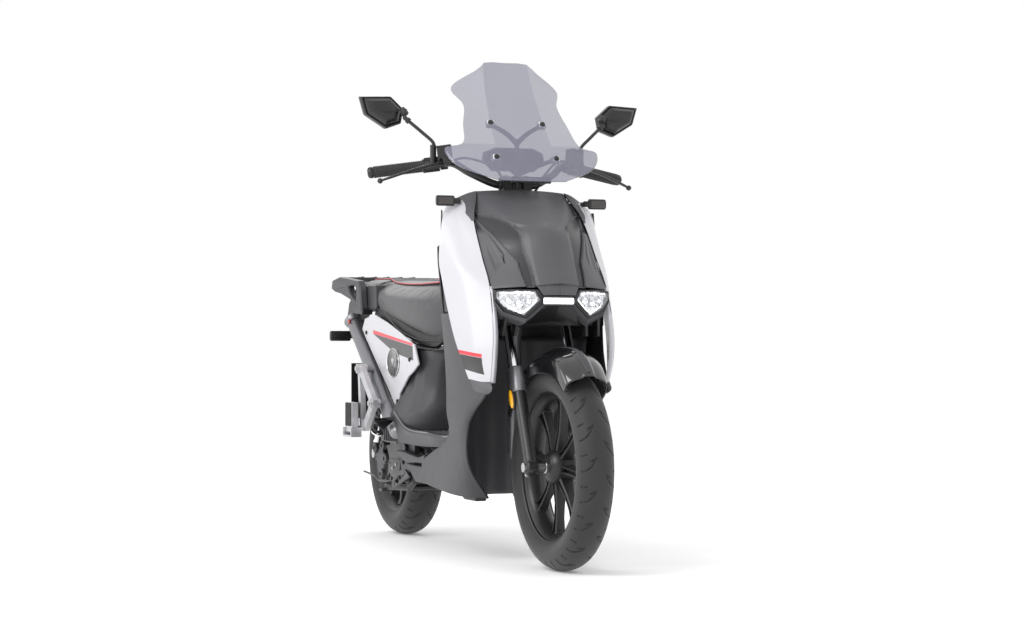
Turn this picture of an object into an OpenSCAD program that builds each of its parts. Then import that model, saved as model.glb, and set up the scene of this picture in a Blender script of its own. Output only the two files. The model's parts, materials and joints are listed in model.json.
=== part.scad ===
// Electric moped scooter: step-through frame, telescopic fork, hub motor, tall screen.
// X runs to the rider's left, Y to the rear, Z up; the ground is z = 0 under the middle of the scooter.

/* [Overall] */
// Distance between the wheel axles
wheelbase = 1360; // [1250:10:1650]
// Width over the front side panels
body_w = 486; // [440:2:600]
// Height of the seat's top at its front
seat_h = 805; // [790:1:980]

/* [Steering] */
// Steering angle back from the vertical, in degrees
rake = 24.3; // [22:0.1:27]
// Distance from the steering axis forward to the fork legs
fork_offset = 35; // [30:1:45]
// Distance between the centres of the fork legs
fork_spread = 176; // [170:1:220]
// Radius of the fork's inner tubes
stanchion_r = 15; // [12:0.5:18]
// Radius of the fork's outer tubes
leg_r = 19; // [17:0.5:24]
// Radius of the steering stem
stem_r = 16; // [12:0.5:20]
// Length of the head tube
head_h = 200; // [150:5:220]
// Radius of the handlebar tube
bar_r = 11; // [9:0.1:13.2]
// Outer radius of the grips
grip_r = 17; // [15:0.5:20]

/* [Wheels] */
// Radius of the front tyre
front_tyre_r = 283; // [270:1:290]
// Width of the front tyre
front_tyre_w = 104; // [86:1:108]
// Radius of the rear tyre
rear_tyre_r = 266; // [250:1:275]
// Width of the rear tyre
rear_tyre_w = 114; // [95:1:120]
// Radius of the front axle
front_axle_r = 7.5; // [5:0.5:10]
// Radius of the rear axle
rear_axle_r = 8; // [6:0.5:10]
// Radius of the hub motor's casing
motor_r = 112; // [90:1:140]
// Radius of the front brake disc
front_disc_r = 120; // [100:1:145]
// Radius of the rear brake disc
rear_disc_r = 100; // [80:1:120]

/* [Rear suspension] */
// Radius of the swingarm's pivot shaft
pivot_r = 8; // [6:0.5:12]
// Radius of the shock absorbers' piston rods
shock_rod_r = 6; // [4:0.5:8]
// Radius of the shock absorbers' springs
spring_r = 24; // [21:0.5:26]

/* [Fits] */
// Radial gap between a shaft and the hole it turns or slides in
run_gap = 0.05; // [0.02:0.01:0.08]
// Gap between pieces that move past each other
move_gap = 0.5; // [0.4:0.1:1.5]
// Wall of the moulded covers
skin = 4; // [3:0.5:6]

/* [Hidden] */
$fn = 48;
s_rake = sin(rake);
c_rake = cos(rake);
// Lower end of the head tube, on the steering axis
head_y = -452;
head_z = 720;
axle_lead = 11;
fork_y = -fork_offset;
axle_ly = fork_y - axle_lead;
fork_len = (head_z - axle_ly * s_rake - front_tyre_r) / c_rake;
front_axle_y = head_y + axle_ly * c_rake - fork_len * s_rake;
rear_axle_y = front_axle_y + wheelbase;
pivot_y = 210;
pivot_z = 300;
fork_x = fork_spread / 2;
leg_top = 300 - fork_len;
bw = body_w / 486;
// Stretch of everything behind the swingarm pivot
tail_k = (rear_axle_y - pivot_y) / 450;
seat_dz = seat_h - 805;
// Recess behind the front wheel, clear of the tyre with the fork pressed in
recess_y = front_axle_y + front_tyre_r + 46;
disc_x = front_tyre_w / 2 + 4;
rear_disc_x = 58;
rear_hub_w = 54;
front_hub_w = 46;
arm_x = 90;
shock_x = 120;
shock_top = [sy(430), 565];
shock_low = [sy(600), 300];
shock_v = shock_low - shock_top;
shock_len = norm(shock_v);
shock_a = atan2(shock_v[0], -shock_v[1]);
tube_low = [188, 178, 353];
tube_high = [172, sy(679), 687];
frame_tube_r = 22;
grip_in = [242, -252, 1133];
grip_out = [381, -194, 1115];
bar_dir = (grip_out - grip_in) / norm(grip_out - grip_in);
grip_len = norm(grip_out - grip_in);
lever_pivot = [2, -37, -50];
mirror_ball = [308, -268, 1268];
ball_r = 7;
mirror_pin_r = 4;
stand_y = 182;
stand_z = 211;
stand_r = 9;
peg_x = 256;
peg_y0 = sy(395);
peg_z = 351;
seat_hinge = [-2, 600];
hinge_pin_r = 4;
plate_rear = rear_axle_y + 323;

// ---- placing and shape helpers ----

// Y of a point on the tail when the wheelbase changes
function sy(y) = y <= pivot_y ? y : pivot_y + (y - pivot_y) * tail_k;
// Body point from its place at the standard width and wheelbase
function bp(p) = [p[0] * bw, sy(p[1]), p[2]];
function mix(a, b, t) = a + (b - a) * t;
function flat(rows) = [for (row = rows) for (p = row) p];
function flip_x(p) = [-p[0], p[1], p[2]];
// Row of points across the body: edge point, centre point and a fall-off between them
function arch(w, edge, mid, steps) = [for (s = steps)
    [s * w * bw, mix(mid[0], edge[0], s * s), mix(mid[1], edge[1], s * s)]];

module both_sides() {
    children();
    mirror([1, 0, 0]) children();
}

// Frame whose Z runs up the steering axis, from the lower end of the head tube
module in_steering() translate([0, head_y, head_z]) rotate([-rake, 0, 0]) children();

// Frame at the left grip's inner end: Z out along the bar, X down, Y back
module in_bar() translate(grip_in) rotate([0, acos(bar_dir[2]), atan2(bar_dir[1], bar_dir[0])]) children();

// Frame at a shock absorber's top eye, Z towards its bottom eye
module in_shock() translate([shock_x, shock_top[0], shock_top[1]]) rotate([180 + shock_a, 0, 0]) children();

// Frame whose Z runs along X at a wheel's centre
module at_wheel(y, z) translate([0, y, z]) rotate([0, 90, 0]) children();

module rod(a, b, r) {
    v = b - a;
    translate(a) rotate([0, acos(v[2] / norm(v)), atan2(v[1], v[0])]) cylinder(r = r, h = norm(v));
}

// Bent tube: cylinders with slightly larger balls at the bends
module pipe(points, r) {
    for (i = [0:len(points) - 2]) rod(points[i], points[i + 1], r);
    for (i = [1:1:len(points) - 2]) translate(points[i]) sphere(r = r + 0.4);
}

module cyl_x(x0, x1, y, z, r) translate([x0, y, z]) rotate([0, 90, 0]) cylinder(r = r, h = x1 - x0);

// Plate with an outline in the YZ plane
module plate_x(x0, x1, outline) translate([x0, 0, 0]) rotate([90, 0, 90])
    linear_extrude(x1 - x0) polygon(outline);

module box(low, high) translate(low) cube(high - low);

// Closed skin between a front and a back grid of points
module skin_between(front, back) {
    nr = len(front);
    nc = len(front[0]);
    n = nr * nc;
    turn = cross(front[0][1] - front[0][0], front[1][0] - front[0][0]) * (back[0][0] - front[0][0]) < 0;
    grid = [for (i = [0:nr - 2]) for (j = [0:nc - 2]) [i * nc + j, i * nc + j + 1, (i + 1) * nc + j + 1, (i + 1) * nc + j]];
    rim = concat([for (j = [0:nc - 1]) j], [for (i = [1:nr - 1]) i * nc + nc - 1],
        [for (j = [nc - 2:-1:0]) (nr - 1) * nc + j], [for (i = [nr - 2:-1:1]) i * nc]);
    nrim = len(rim);
    faces = concat(
        [for (q = grid) each [[q[0], q[1], q[2]], [q[0], q[2], q[3]]]],
        [for (q = grid) each [[q[2] + n, q[1] + n, q[0] + n], [q[3] + n, q[2] + n, q[0] + n]]],
        [for (k = [0:nrim - 1]) let (a = rim[k], b = rim[(k + 1) % nrim]) each [[b, a, a + n], [b, a + n, b + n]]]);
    polyhedron(concat(flat(front), flat(back)),
        turn ? [for (f = faces) [f[2], f[1], f[0]]] : faces);
}

// Skin of one thickness vector behind a grid of points
module panel(rows, depth) skin_between(rows, [for (row = rows) [for (p = row) p + depth]]);

// Closed solid through rings with the same number of points, each ring counter-clockwise seen from its start
module loft(rings) {
    n = len(rings[0]);
    m = len(rings);
    sides = [for (i = [0:m - 2]) for (j = [0:n - 1]) let (a = i * n + j, b = i * n + (j + 1) % n)
        each [[a, b, b + n], [a, b + n, a + n]]];
    caps = [for (j = [1:n - 2]) each [[0, j + 1, j], [(m - 1) * n, (m - 1) * n + j, (m - 1) * n + j + 1]]];
    polyhedron(flat(rings), concat(sides, caps));
}

// Tube swept along points, with rings square to the mean of the two stretches that meet there
module swept(points, r, n = 8) {
    last = len(points) - 1;
    function way(i) = let (d = points[min(i + 1, last)] - points[max(i - 1, 0)]) d / norm(d);
    function side(i) = let (s = cross([0, 0.2, 1], way(i))) s / norm(s);
    loft([for (i = [0:last]) [for (k = [0:n - 1])
        points[i] + r * (cos(360 * k / n) * side(i) + sin(360 * k / n) * cross(way(i), side(i)))]]);
}

// Smooth curve through hand-picked points
function curve(p, steps) = [for (i = [0:len(p) - 2]) for (s = [0:steps - 1]) let (t = s / steps,
    a = p[max(i - 1, 0)], b = p[i], c = p[i + 1], d = p[min(i + 2, len(p) - 1)])
    0.5 * (2 * b + (c - a) * t + (2 * a - 5 * b + 4 * c - d) * t * t + (3 * b - a - 3 * c + d) * t * t * t),
    p[len(p) - 1]];

// ---- chassis ----

module main_frame() color("dimgray") {
    spine = [[0, -411, 800], [0, recess_y + 34, 640], [0, recess_y + 36, 310], [0, -290, 262]];
    difference() {
        union() {
            in_steering() cylinder(r = stem_r + 10, h = head_h);
            pipe(spine, 21);
        }
        in_steering() translate([0, 0, -1]) cylinder(r = stem_r + run_gap, h = head_h + 2);
    }
    rod([-100, -285, 262], [100, -285, 262], 15);
    rod([-100, 120, 262], [100, 120, 262], 13);
    both_sides() {
        pipe([[100, -285, 262], [100, 120, 262], [104, 160, 340], [104, 120, 555], [104, sy(610), 655]], 13);
        pipe([[100, 150, 315], tube_low, tube_high, [150, sy(690), 690]], frame_tube_r);
        rod([104, sy(430), 620], [104, shock_top[0], shock_top[1]], 7);
        cyl_x(98, shock_x + 16, shock_top[0], shock_top[1], 6);
        cyl_x(190, 212, sy(415), 545, 12);
        cyl_x(190, 212, sy(283), 436, 12);
    }
    rod([-152, sy(640), 668], [152, sy(640), 668], 10);
    // Seat hinge lugs with their pin
    both_sides() box([24, seat_hinge[0] - 8, 556], [32, seat_hinge[0] + 8, seat_hinge[1] + 5]);
    cyl_x(-32, 32, seat_hinge[0], seat_hinge[1], hinge_pin_r);
    both_sides() rod([28, seat_hinge[0], 564], [104, 118, 548], 8);
}

module pivot_plates() color("darkgray") {
    both_sides() difference() {
        plate_x(132, 146, [[128, 245], [150, 192], [215, 188], [262, 235], [285, 330], [240, 405],
            [150, 392], [128, 330]]);
        cyl_x(131, 147, stand_y, stand_z, stand_r + run_gap);
        cyl_x(131, 147, 240, 262, 14);
    }
    cyl_x(-152, 152, pivot_y, pivot_z, pivot_r);
    both_sides() cyl_x(146, 156, pivot_y, pivot_z, 17);
    both_sides() difference() {
        cyl_x(115, 132, 150, 290, 16);
        cyl_x(110, 133, stand_y, stand_z, 40);
    }
}

module battery_pack() color("slategray") {
    box([-84, 60, 388], [84, 318, 538]);
    both_sides() box([56, 170, 538], [64, 182, 570]);
    box([-64, 170, 570], [64, 182, 578]);
}

fascia_steps = [-1, -0.72, -0.4, 0, 0.4, 0.72, 1];
fascia_rows = [
    arch(133, [-380, 1052], [-408, 1056], fascia_steps),
    arch(148, [-412, 1018], [-452, 1030], fascia_steps),
    arch(162, [-445, 976], [-535, 978], fascia_steps),
    arch(166, [-490, 920], [-600, 926], fascia_steps),
    arch(168, [-535, 860], [-632, 870], fascia_steps),
    arch(169, [-603, 781], [-676, 790], fascia_steps)];

module front_fascia() color("dimgray") panel(fascia_rows, [0, skin + 1, 0]);

lamp_rows = [
    arch(169, [-606, 775], [-672, 777], fascia_steps),
    arch(164, [-622, 750], [-668, 744], fascia_steps),
    arch(124, [-646, 712], [-672, 712], fascia_steps),
    arch(96, [-640, 682], [-660, 690], fascia_steps)];

module headlight_housing() color("black") panel(lamp_rows, [0, 26, 0]);

module headlight_lenses() color("white") both_sides() {
    rows = [[[52, -676, 752], [105, -662, 760], [154, -632, 764]],
            [[56, -682, 735], [106, -666, 740], [150, -640, 744]],
            [[66, -680, 716], [100, -668, 708], [128, -654, 722]]];
    panel([for (row = rows) [for (p = row) [p[0] * bw, p[1], p[2]]]], [0, 7, 0]);
    panel([for (z = [747, 733]) [[0, -682, z], [46 * bw, -680, z]]], [0, 6, 0]);
}

// Front side panel, left one; rows run down, columns run back
apron_rows = [
    [[136, -384, 1050], [166, -374, 1040], [196, -362, 1024]],
    [[165, -449, 976], [196, -420, 985], [226, -374, 990]],
    [[171, -539, 860], [216, -470, 868], [243, -385, 870]],
    [[173, -606, 776], [213, -520, 790], [240, -381, 801]],
    [[177, -646, 657], [206, -580, 657], [228, -500, 658]],
    [[178, -642, 575], [200, -595, 575], [214, -547, 575]],
    [[174, -618, 512], [188, -592, 514], [202, -562, 522]]];

module apron(side) color("white") {
    rows = [for (row = apron_rows) [for (p = row) bp(p)]];
    mirror([side < 0 ? 1 : 0, 0, 0])
        skin_between(rows, [for (row = rows) [for (p = row) p + [-skin, skin, 0]]]);
}
module apron_right() apron(-1);
module apron_left() apron(1);

cheek_rows = [
    [[232, -470, 700], [232, -425, 700], [226, -372, 700], [218, -322, 700]],
    [[214, -535, 600], [218, -470, 600], [214, -390, 600], [206, -318, 600]],
    [[182, -606, 505], [200, -540, 515], [204, -430, 510], [198, -314, 510]],
    [[178, -590, 482], [194, -510, 470], [200, -420, 450], [194, -312, 430]],
    [[184, -470, 400], [192, -440, 380], [194, -380, 370], [190, -310, 350]],
    [[178, -446, 283], [186, -410, 283], [190, -320, 283], [188, -76, 272]],
    [[112, -424, 184], [160, -400, 186], [182, -300, 192], [184, -122, 206]]];

module lower_leg_shield() color("dimgray") {
    both_sides() {
        rows = [for (row = cheek_rows) [for (p = row) bp(p)]];
        skin_between(rows, [for (row = rows) [for (p = row) p + [-skin, 0, 0]]]);
    }
    wall_steps = [-1, -0.8, -0.45, 0, 0.45, 0.8, 1];
    widths = [[640, 196], [510, 186], [430, 182], [350, 178], [283, 172], [190, 146]];
    panel([for (w = widths) [for (s = wall_steps)
        [s * w[1] * bw, recess_y + 2 - 40 * pow(s * w[1] / 172, 2), w[0]]]], [0, skin, 0]);
    box([-150 * bw, -322, 196], [150 * bw, -130, 200]);
    box([-26, -250, 172], [26, -214, 196]);
}

shield_rows = [for (r = [[1024, 188, -258], [940, 226, -268], [868, 235, -280], [790, 230, -290],
    [660, 216, -292], [510, 194, -294], [362, 182, -300]])
    [for (s = [[-1, -74], [-0.97, -24], [-0.62, 0], [0, 6], [0.62, 0], [0.97, -24], [1, -74]])
        [s[0] * r[1] * bw, r[2] + s[1] * (r[0] > 900 ? 1.15 : 0.5), r[0]]]];

module inner_leg_shield() color("dimgray") {
    panel(shield_rows, [0, -skin, 0]);
    // Deck that closes the top round the steering stem
    translate([0, 0, 1034]) linear_extrude(3) difference() {
        polygon([[-128 * bw, -372], [128 * bw, -372], [184 * bw, -346], [176 * bw, -262], [0, -252],
            [-176 * bw, -262], [-184 * bw, -346]]);
        translate([0, head_y + (1035 - head_z) * tan(rake)]) circle(r = 50);
    }
}

module floorboard() color("dimgray") {
    plate_x(-172 * bw, 172 * bw, [[-294, 340], [-294, 350], [-130, 354], [20, 358], [20, 346]]);
    both_sides() plate_x(176 * bw, 200 * bw, [[-290, 334], [-290, 352], [-130, 363], [30, 382], [150, 412],
        [176, 412], [150, 388], [118, 366], [118, 322], [-60, 322]]);
    for (i = [-3:3]) translate([i * 44 * bw, 0, 0]) box([-9, -262, 353.8], [9, -20, 360]);
}

under_levels = [[362, 192, 4], [404, 196, -2], [440, 178, -6], [500, 160, 0], [556, 156, -14], [584, 150, -22]];
function under_row(r, t) = [for (s = [[-1, 224], [-1, 130], [-0.94, 60], [-0.66, 14], [0, 0],
    [0.66, 14], [0.94, 60], [1, 130], [1, 224]])
    [(s[0] * r[1] - sign(s[0]) * t) * bw, r[2] + s[1] + (s[1] < 100 ? t : 0),
     r[0] + (r[0] > 580 ? (s[1] > 100 ? 26 : s[1] > 50 ? 12 : 0) : 0)]];

module underseat_cover() color("dimgray") {
    skin_between([for (r = under_levels) under_row(r, 0)], [for (r = under_levels) under_row(r, skin)]);
}

module side_panels() color("white") both_sides() plate_x(167 * bw, 173 * bw, [for (p = [[560, 706], [455, 716], [330, 690], [200, 658], [57, 619], [18, 560],
        [60, 540], [112, 523], [200, 468], [216, 425], [236, 425], [300, 474], [560, 648], [590, 672]])
        [sy(p[0]), p[1]]]);

function tail_ring(r) = [for (p = [[-1, 0], [-0.8, -1], [0.8, -1], [1, 0], [0.92, 1], [-0.92, 1]])
    [p[0] * r[1] * bw, sy(r[0]), p[1] < 0 ? r[2] : p[1] > 0 ? r[3] : mix(r[2], r[3], 0.4)]];

tail_stations = [[470, 146, 682, 698], [560, 147, 684, 758], [690, 138, 690, 770], [836, 100, 722, 778]];
module tail_fairing() color("dimgray") difference() {
    loft([for (r = tail_stations) tail_ring(r)]);
    loft([for (r = tail_stations) tail_ring([r[0] - (r[0] < 500 ? 1 : skin), r[1] - 6, r[2] + skin, r[3] - skin])]);
}

module grab_rail() color("dimgray") {
    outline = [[560, 718], [640, 716], [812, 790], [905, 824], [983, 832], [983, 846], [870, 850], [770, 844],
        [728, 812], [690, 782], [600, 758]];
    hole = [[700, 770], [735, 780], [842, 824], [782, 824]];
    both_sides() difference() {
        plate_x(158 * bw, 184 * bw, [for (p = outline) [sy(p[0]), p[1]]]);
        plate_x(157 * bw, 185 * bw, [for (p = hole) [sy(p[0]), p[1]]]);
    }
    difference() {
        box([-158 * bw, sy(846), 834], [158 * bw, sy(983), 846]);
        for (x = [-60, 60]) for (y = [-25, 25])
            translate([x, sy(915) + y, 830]) cylinder(r = 4.2, h = 20);
    }
    both_sides() box([147.5 * bw, sy(570), 722], [158 * bw, sy(625), 745]);
}

module tail_light() color("darkred") {
    loft([for (r = [[836, 84, 734, 770], [852, 84, 732, 772], [866, 66, 738, 766]]) tail_ring(r)]);
}

guard_line = [[340, 425], [366, 520], [425, 590], [540, 624], [700, 634], [800, 606], [880, 545], [935, 460],
    [960, 380]];
module rear_mudguard() color("black") {
    top = [for (p = guard_line) [rear_axle_y + p[0] - 660, p[1]]];
    under = [for (i = [len(top) - 1:-1:0]) let (p = top[i], c = [rear_axle_y, rear_tyre_r],
        d = (c - p) / norm(c - p)) p + skin * d];
    plate_x(-76, 76, concat(top, under));
    difference() {
        box([-92, plate_rear - skin, 372], [92, plate_rear, 560]);
        for (x = [-50, 50]) translate([x, plate_rear - 6, 470]) rotate([-90, 0, 0]) cylinder(r = 3.2, h = 12);
    }
    both_sides() box([52, plate_rear - 58, 500], [60, plate_rear - skin, 530]);
    both_sides() box([60, rear_axle_y + 95, 618], [68, rear_axle_y + 125, 712]);
}

// Lamp block with rounded ends, lying along X
module lamp_block(x0, x1, y, z, half_h, r) translate([x0, y, z]) rotate([90, 0, 90]) linear_extrude(x1 - x0) {
    square([2 * r, 2 * half_h], center = true);
    for (d = [-half_h, half_h]) translate([0, d]) circle(r = r);
}

module indicators() color("black") both_sides() {
    cyl_x(190 * bw, 206 * bw, -398, 1023, 7);
    lamp_block(206 * bw, 259 * bw, -402, 1024, 8, 7);
    cyl_x(68, 158, rear_axle_y + 115, 651, 7);
    lamp_block(158, 227, rear_axle_y + 115, 651, 9, 8);
}

module peg_brackets() color("silver") both_sides() {
    difference() {
        plate_x(222, 238, [for (p = [[428, 556], [404, 560], [262, 448], [262, 430], [352, 350], [460, 350],
            [460, 362], [404, 366]]) [sy(p[0]), p[1]]]);
        plate_x(221, 239, [for (p = [[402, 524], [300, 444], [318, 418], [372, 372], [384, 384]]) [sy(p[0]), p[1]]]);
    }
    cyl_x(212, 244, sy(415), 545, 15);
    cyl_x(212, 244, sy(280), 438, 15);
    // Tray with the peg's hinge pin
    box([238, peg_y0 - 12, peg_z - 21], [272, peg_y0 + 82, peg_z - 15]);
    for (y = [peg_y0 - 12, peg_y0 + 74]) box([238, y, peg_z - 15], [272, y + 8, peg_z + 9]);
    rod([peg_x, peg_y0 - 8, peg_z], [peg_x, peg_y0 + 78, peg_z], 4);
}

// ---- seat ----

// Half section of the seat at one station: y, top half width, widest half width, bottom z, top z
seat_stations = [[-86, 58, 66, 720, 776], [-62, 84, 104, 650, 797], [0, 100, 132, 616, 805],
    [100, 116, 152, 628, 806], [230, 122, 161, 657, 806], [386, 124, 161, 691, 811], [486, 122, 156, 724, 820],
    [530, 118, 148, 766, 828], [650, 112, 138, 782, 832], [770, 96, 118, 792, 833], [800, 84, 100, 802, 826]];
function seat_ring(r) = [for (p = [[-0.84, 0, 0], [0.84, 0, 0], [1, 0.18, 1], [1, 0.55, 1], [1, 0.9, 0],
    [0.6, 1, 0], [0, 1.01, 0], [-0.6, 1, 0], [-1, 0.9, 0], [-1, 0.55, 1], [-1, 0.18, 1]])
    [p[0] * (p[2] == 1 ? r[2] : p[1] == 0 ? r[2] : r[1]) * bw, sy(r[0]),
     mix(r[3], r[4] + seat_dz, p[1])]];

// Foam body, hollow under its top as a moulded seat is
module seat_cushion() color("darkslategray") difference() {
    loft([for (r = seat_stations) seat_ring(r)]);
    loft([for (r = seat_stations) if (r[0] >= 0 && r[0] <= 650)
        seat_ring([r[0], r[1] - 32, r[2] - 30, r[3] - 2, max(r[4] - 42, r[3] + 6)])]);
}

module seat_pan() color("black") {
    pan = [for (r = seat_stations) if (r[0] > -20 && r[0] < 790) r];
    loft([for (r = pan) [for (p = [[-0.8, -9], [0.8, -9], [0.8, -0.3], [-0.8, -0.3]])
        [p[0] * r[2] * bw, sy(r[0]), r[3] + p[1]]]]);
    difference() {
        union() {
            rod([-23.5, seat_hinge[0], seat_hinge[1]], [23.5, seat_hinge[0], seat_hinge[1]], 7.5);
            box([-20, seat_hinge[0], seat_hinge[1] - 5], [20, 24, seat_hinge[1] + 8]);
        }
        rod([-30, seat_hinge[0], seat_hinge[1]], [30, seat_hinge[0], seat_hinge[1]], hinge_pin_r + run_gap);
    }
}

// ---- steering ----

module steering_stem() color("black") {
    in_steering() {
        difference() {
            union() {
                translate([-fork_x - 24, fork_y - 24, -46]) cube([2 * fork_x + 48, 48, 34]);
                translate([-34, fork_y, -46]) cube([68, fork_offset + 28, 34]);
            }
            for (s = [-1, 1]) translate([s * fork_x, fork_y, -60]) cylinder(r = stanchion_r, h = 60);
        }
        translate([0, 0, -40]) cylinder(r = stem_r, h = 415);
        translate([0, 0, -12]) cylinder(r = stem_r + 8, h = 11.5);
        translate([0, 0, head_h + 0.5]) cylinder(r = stem_r + 7, h = 16);
    }
    // Riser and bar clamp
    box([-30, -372, 1058], [30, -296, 1066]);
    difference() {
        both_sides() box([18, -368, 1060], [44, -326, 1100]);
        rod([-60, -347, 1078], [60, -347, 1078], bar_r);
    }
}

module fork_stanchions() color("silver") in_steering() for (s = [-1, 1])
    translate([s * fork_x, fork_y, 100 + leg_top - 200]) cylinder(r = stanchion_r, h = 92 - leg_top);

bar_bend = [[58, -347, 1078], [128, -316, 1112], grip_in - 75 * bar_dir];
module handlebar() color("black") {
    half = concat(bar_bend, [grip_out]);
    pipe(concat([for (i = [3:-1:0]) flip_x(half[i])], half), bar_r);
    both_sides() in_bar() translate([0, 0, grip_len]) cylinder(r = grip_r - 2, h = 16);
}

module grip_tube() difference() {
    union() {
        translate([0, 0, move_gap]) cylinder(r = grip_r + 3, h = 5);
        translate([0, 0, move_gap]) cylinder(r = grip_r, h = grip_len - 2 * move_gap);
    }
    translate([0, 0, -1]) cylinder(r = bar_r + run_gap, h = grip_len + 2);
}
module left_grip() color("black") in_bar() grip_tube();
module throttle_grip() color("black") mirror([1, 0, 0]) in_bar() grip_tube();

module switch_housings() color("black") {
    // Left housing with its pockets for the horn button and the indicator switch
    in_bar() difference() {
        housing();
        translate([-2, 14, -34]) rotate([-90, 0, 0]) cylinder(r = 5.5, h = 20);
        translate([-20, 16, -24]) cube([11, 14, 20]);
    }
    mirror([1, 0, 0]) in_bar() difference() {
        housing();
        translate([-9, 16, -34]) cube([15, 14, 20]);
    }
}
module housing() difference() {
    union() {
        translate([0, 0, -42]) cylinder(r = 20, h = 42);
        translate([-22, -14, -42]) cube([34, 36, 42]);
    }
    translate([0, 0, -50]) cylinder(r = bar_r + run_gap, h = 60);
}

module kill_switch() color("firebrick") mirror([1, 0, 0]) in_bar() translate([-8.5, 19, -33.5]) cube([14, 6, 19]);
module horn_button() color("gray") in_bar() translate([-2, 17, -34]) rotate([-90, 0, 0]) cylinder(r = 5, h = 8);
module indicator_switch() color("gray") in_bar() {
    translate([-19.5, 18, -18]) cube([10, 9, 8]);
}

module display() color("black") {
    translate([0, -322, 0]) rotate([90, 0, 0]) linear_extrude(26)
        polygon([[-64, 1120], [64, 1120], [90, 1150], [86, 1172], [58, 1186], [-58, 1186], [-86, 1172], [-90, 1150]]);
    box([-18, -346, 1091], [18, -326, 1121]);
}

// Right half of the screen, from the centre out; z rises from row to row
screen_rows = [
    [[0, -489, 1080], [55, -487, 1080], [103, -483, 1082]],
    [[0, -464, 1122], [85, -459, 1122], [206, -436, 1122]],
    [[0, -430, 1172], [88, -425, 1172], [232, -398, 1172]],
    [[0, -416, 1190], [88, -411, 1190], [178, -399, 1190]],
    [[0, -366, 1251], [84, -360, 1251], [160, -350, 1251]],
    [[0, -330, 1310], [80, -324, 1310], [145, -309, 1310]],
    [[0, -300, 1364], [78, -291, 1364], [164, -256, 1364]],
    [[0, -274, 1417], [60, -272, 1417], [92, -270, 1415]],
    [[0, -263, 1440], [40, -263, 1441], [66, -264, 1438]]];

module windshield() color("gainsboro") {
    rows = [for (row = screen_rows) concat([flip_x(row[2]), flip_x(row[1])], row)];
    panel(rows, [0, 3.5, 0]);
}

module windshield_bracket() color("black") {
    rod([0, -362, 1066], [0, -358, 1208], 6);
    box([-14, -362, 1066.2], [14, -350, 1080]);
    both_sides() {
        rod([0, -358, 1208], [78, -350, 1251], 6);
        rod([78, -350, 1251], [78, -356.5, 1251], 13);
        rod([0, -361, 1110], [88, -432, 1146], 6);
        rod([88, -431, 1146], [88, -438, 1146], 13);
    }
    for (p = [[0, -361, 1110], [0, -358, 1208]]) translate(p) sphere(r = 7.5);
}

module master_cylinders() color("black") both_sides() in_bar() {
    difference() {
        union() {
            translate([0, 0, -66]) cylinder(r = 17, h = 22);
            translate([-12, -48, -66]) cube([24, 48, 7]);
        }
        translate([0, 0, -70]) cylinder(r = bar_r + run_gap, h = 30);
    }
    translate([-12, -46, -78]) cube([22, 20, 12]);
    translate([-46, -52, -84]) cube([34, 34, 42]);
    difference() {
        translate([-12, -50, -56]) cube([7, 26, 15]);
        translate([-20, lever_pivot[1], lever_pivot[2]]) rotate([0, 90, 0]) cylinder(r = 3.55, h = 40);
    }
    translate([-11, lever_pivot[1], lever_pivot[2]]) rotate([0, 90, 0]) cylinder(r = 3.5, h = 22);
}

module brake_lever() in_bar() {
    difference() {
        union() {
            translate([-4, lever_pivot[1], lever_pivot[2]]) rotate([0, 90, 0]) cylinder(r = 8, h = 12);
            pipe([[3, -43, -46], [6, -62, -12], [18, -76, 50], [33, -82, 122]], 5);
            translate([33, -82, 126]) sphere(r = 8);
        }
        translate([-20, lever_pivot[1], lever_pivot[2]]) rotate([0, 90, 0]) cylinder(r = 3.55, h = 40);
    }
}
module brake_lever_left() color("dimgray") brake_lever();
module brake_lever_right() color("dimgray") mirror([1, 0, 0]) brake_lever();

// Hose from a master cylinder down beside the stem
hose_points = [[184, -315, 1143], [150, -338, 1152], [106, -380, 1136], [76, -404, 1112], [60, -398, 1090],
    [58, -380, 1070], [48, -362, 1058], [26, -334, 1048], [24, -330, 1034], [22, -330, 1005]];
module brake_hoses() color("black") both_sides() swept(curve(hose_points, 4), 3);

module mirror_stems() color("black") both_sides() {
    pipe([[229, -287, 1176], [231, -289, 1200], mirror_ball], 5);
    translate(mirror_ball) {
        sphere(r = ball_r);
        cylinder(r = mirror_pin_r, h = 18);
    }
    in_bar() translate([-44, -27.5, -31]) rotate([0, 90, 0]) cylinder(r = 8, h = 54);
}

module mirror_body() {
    outline = [[433, 1328], [341, 1332], [302, 1296], [310, 1254], [355, 1238], [418, 1277]];
    translate([0, -220, 0]) rotate([90, 0, 0]) linear_extrude(20) polygon(outline);
    // Arm from the turning sleeve to the shell
    translate(mirror_ball) difference() {
        union() {
            translate([0, 0, ball_r + move_gap]) cylinder(r = 8, h = 8);
            translate([-4, 4, ball_r + move_gap]) cube([8, 27, 8]);
        }
        cylinder(r = mirror_pin_r + run_gap, h = 40);
    }
}
module mirror_left() color("black") mirror_body();
module mirror_right() color("black") mirror([1, 0, 0]) mirror_body();

// ---- fork ----

module fork_lowers() color("black") in_steering() for (s = [-1, 1]) difference() {
    union() {
        translate([s * fork_x, fork_y, -fork_len - 18]) cylinder(r = leg_r, h = 318);
        translate([s * fork_x, fork_y, leg_top - 26]) cylinder(r = leg_r + 2, h = 26);
        translate([s * fork_x - 13, axle_ly, -fork_len]) rotate([0, 90, 0]) cylinder(r = 21, h = 26);
    }
    translate([s * fork_x, fork_y, leg_top - 210]) cylinder(r = stanchion_r + run_gap, h = 220);
    translate([s * fork_x - 30, axle_ly, -fork_len]) rotate([0, 90, 0]) cylinder(r = front_axle_r + run_gap, h = 60);
}

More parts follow.
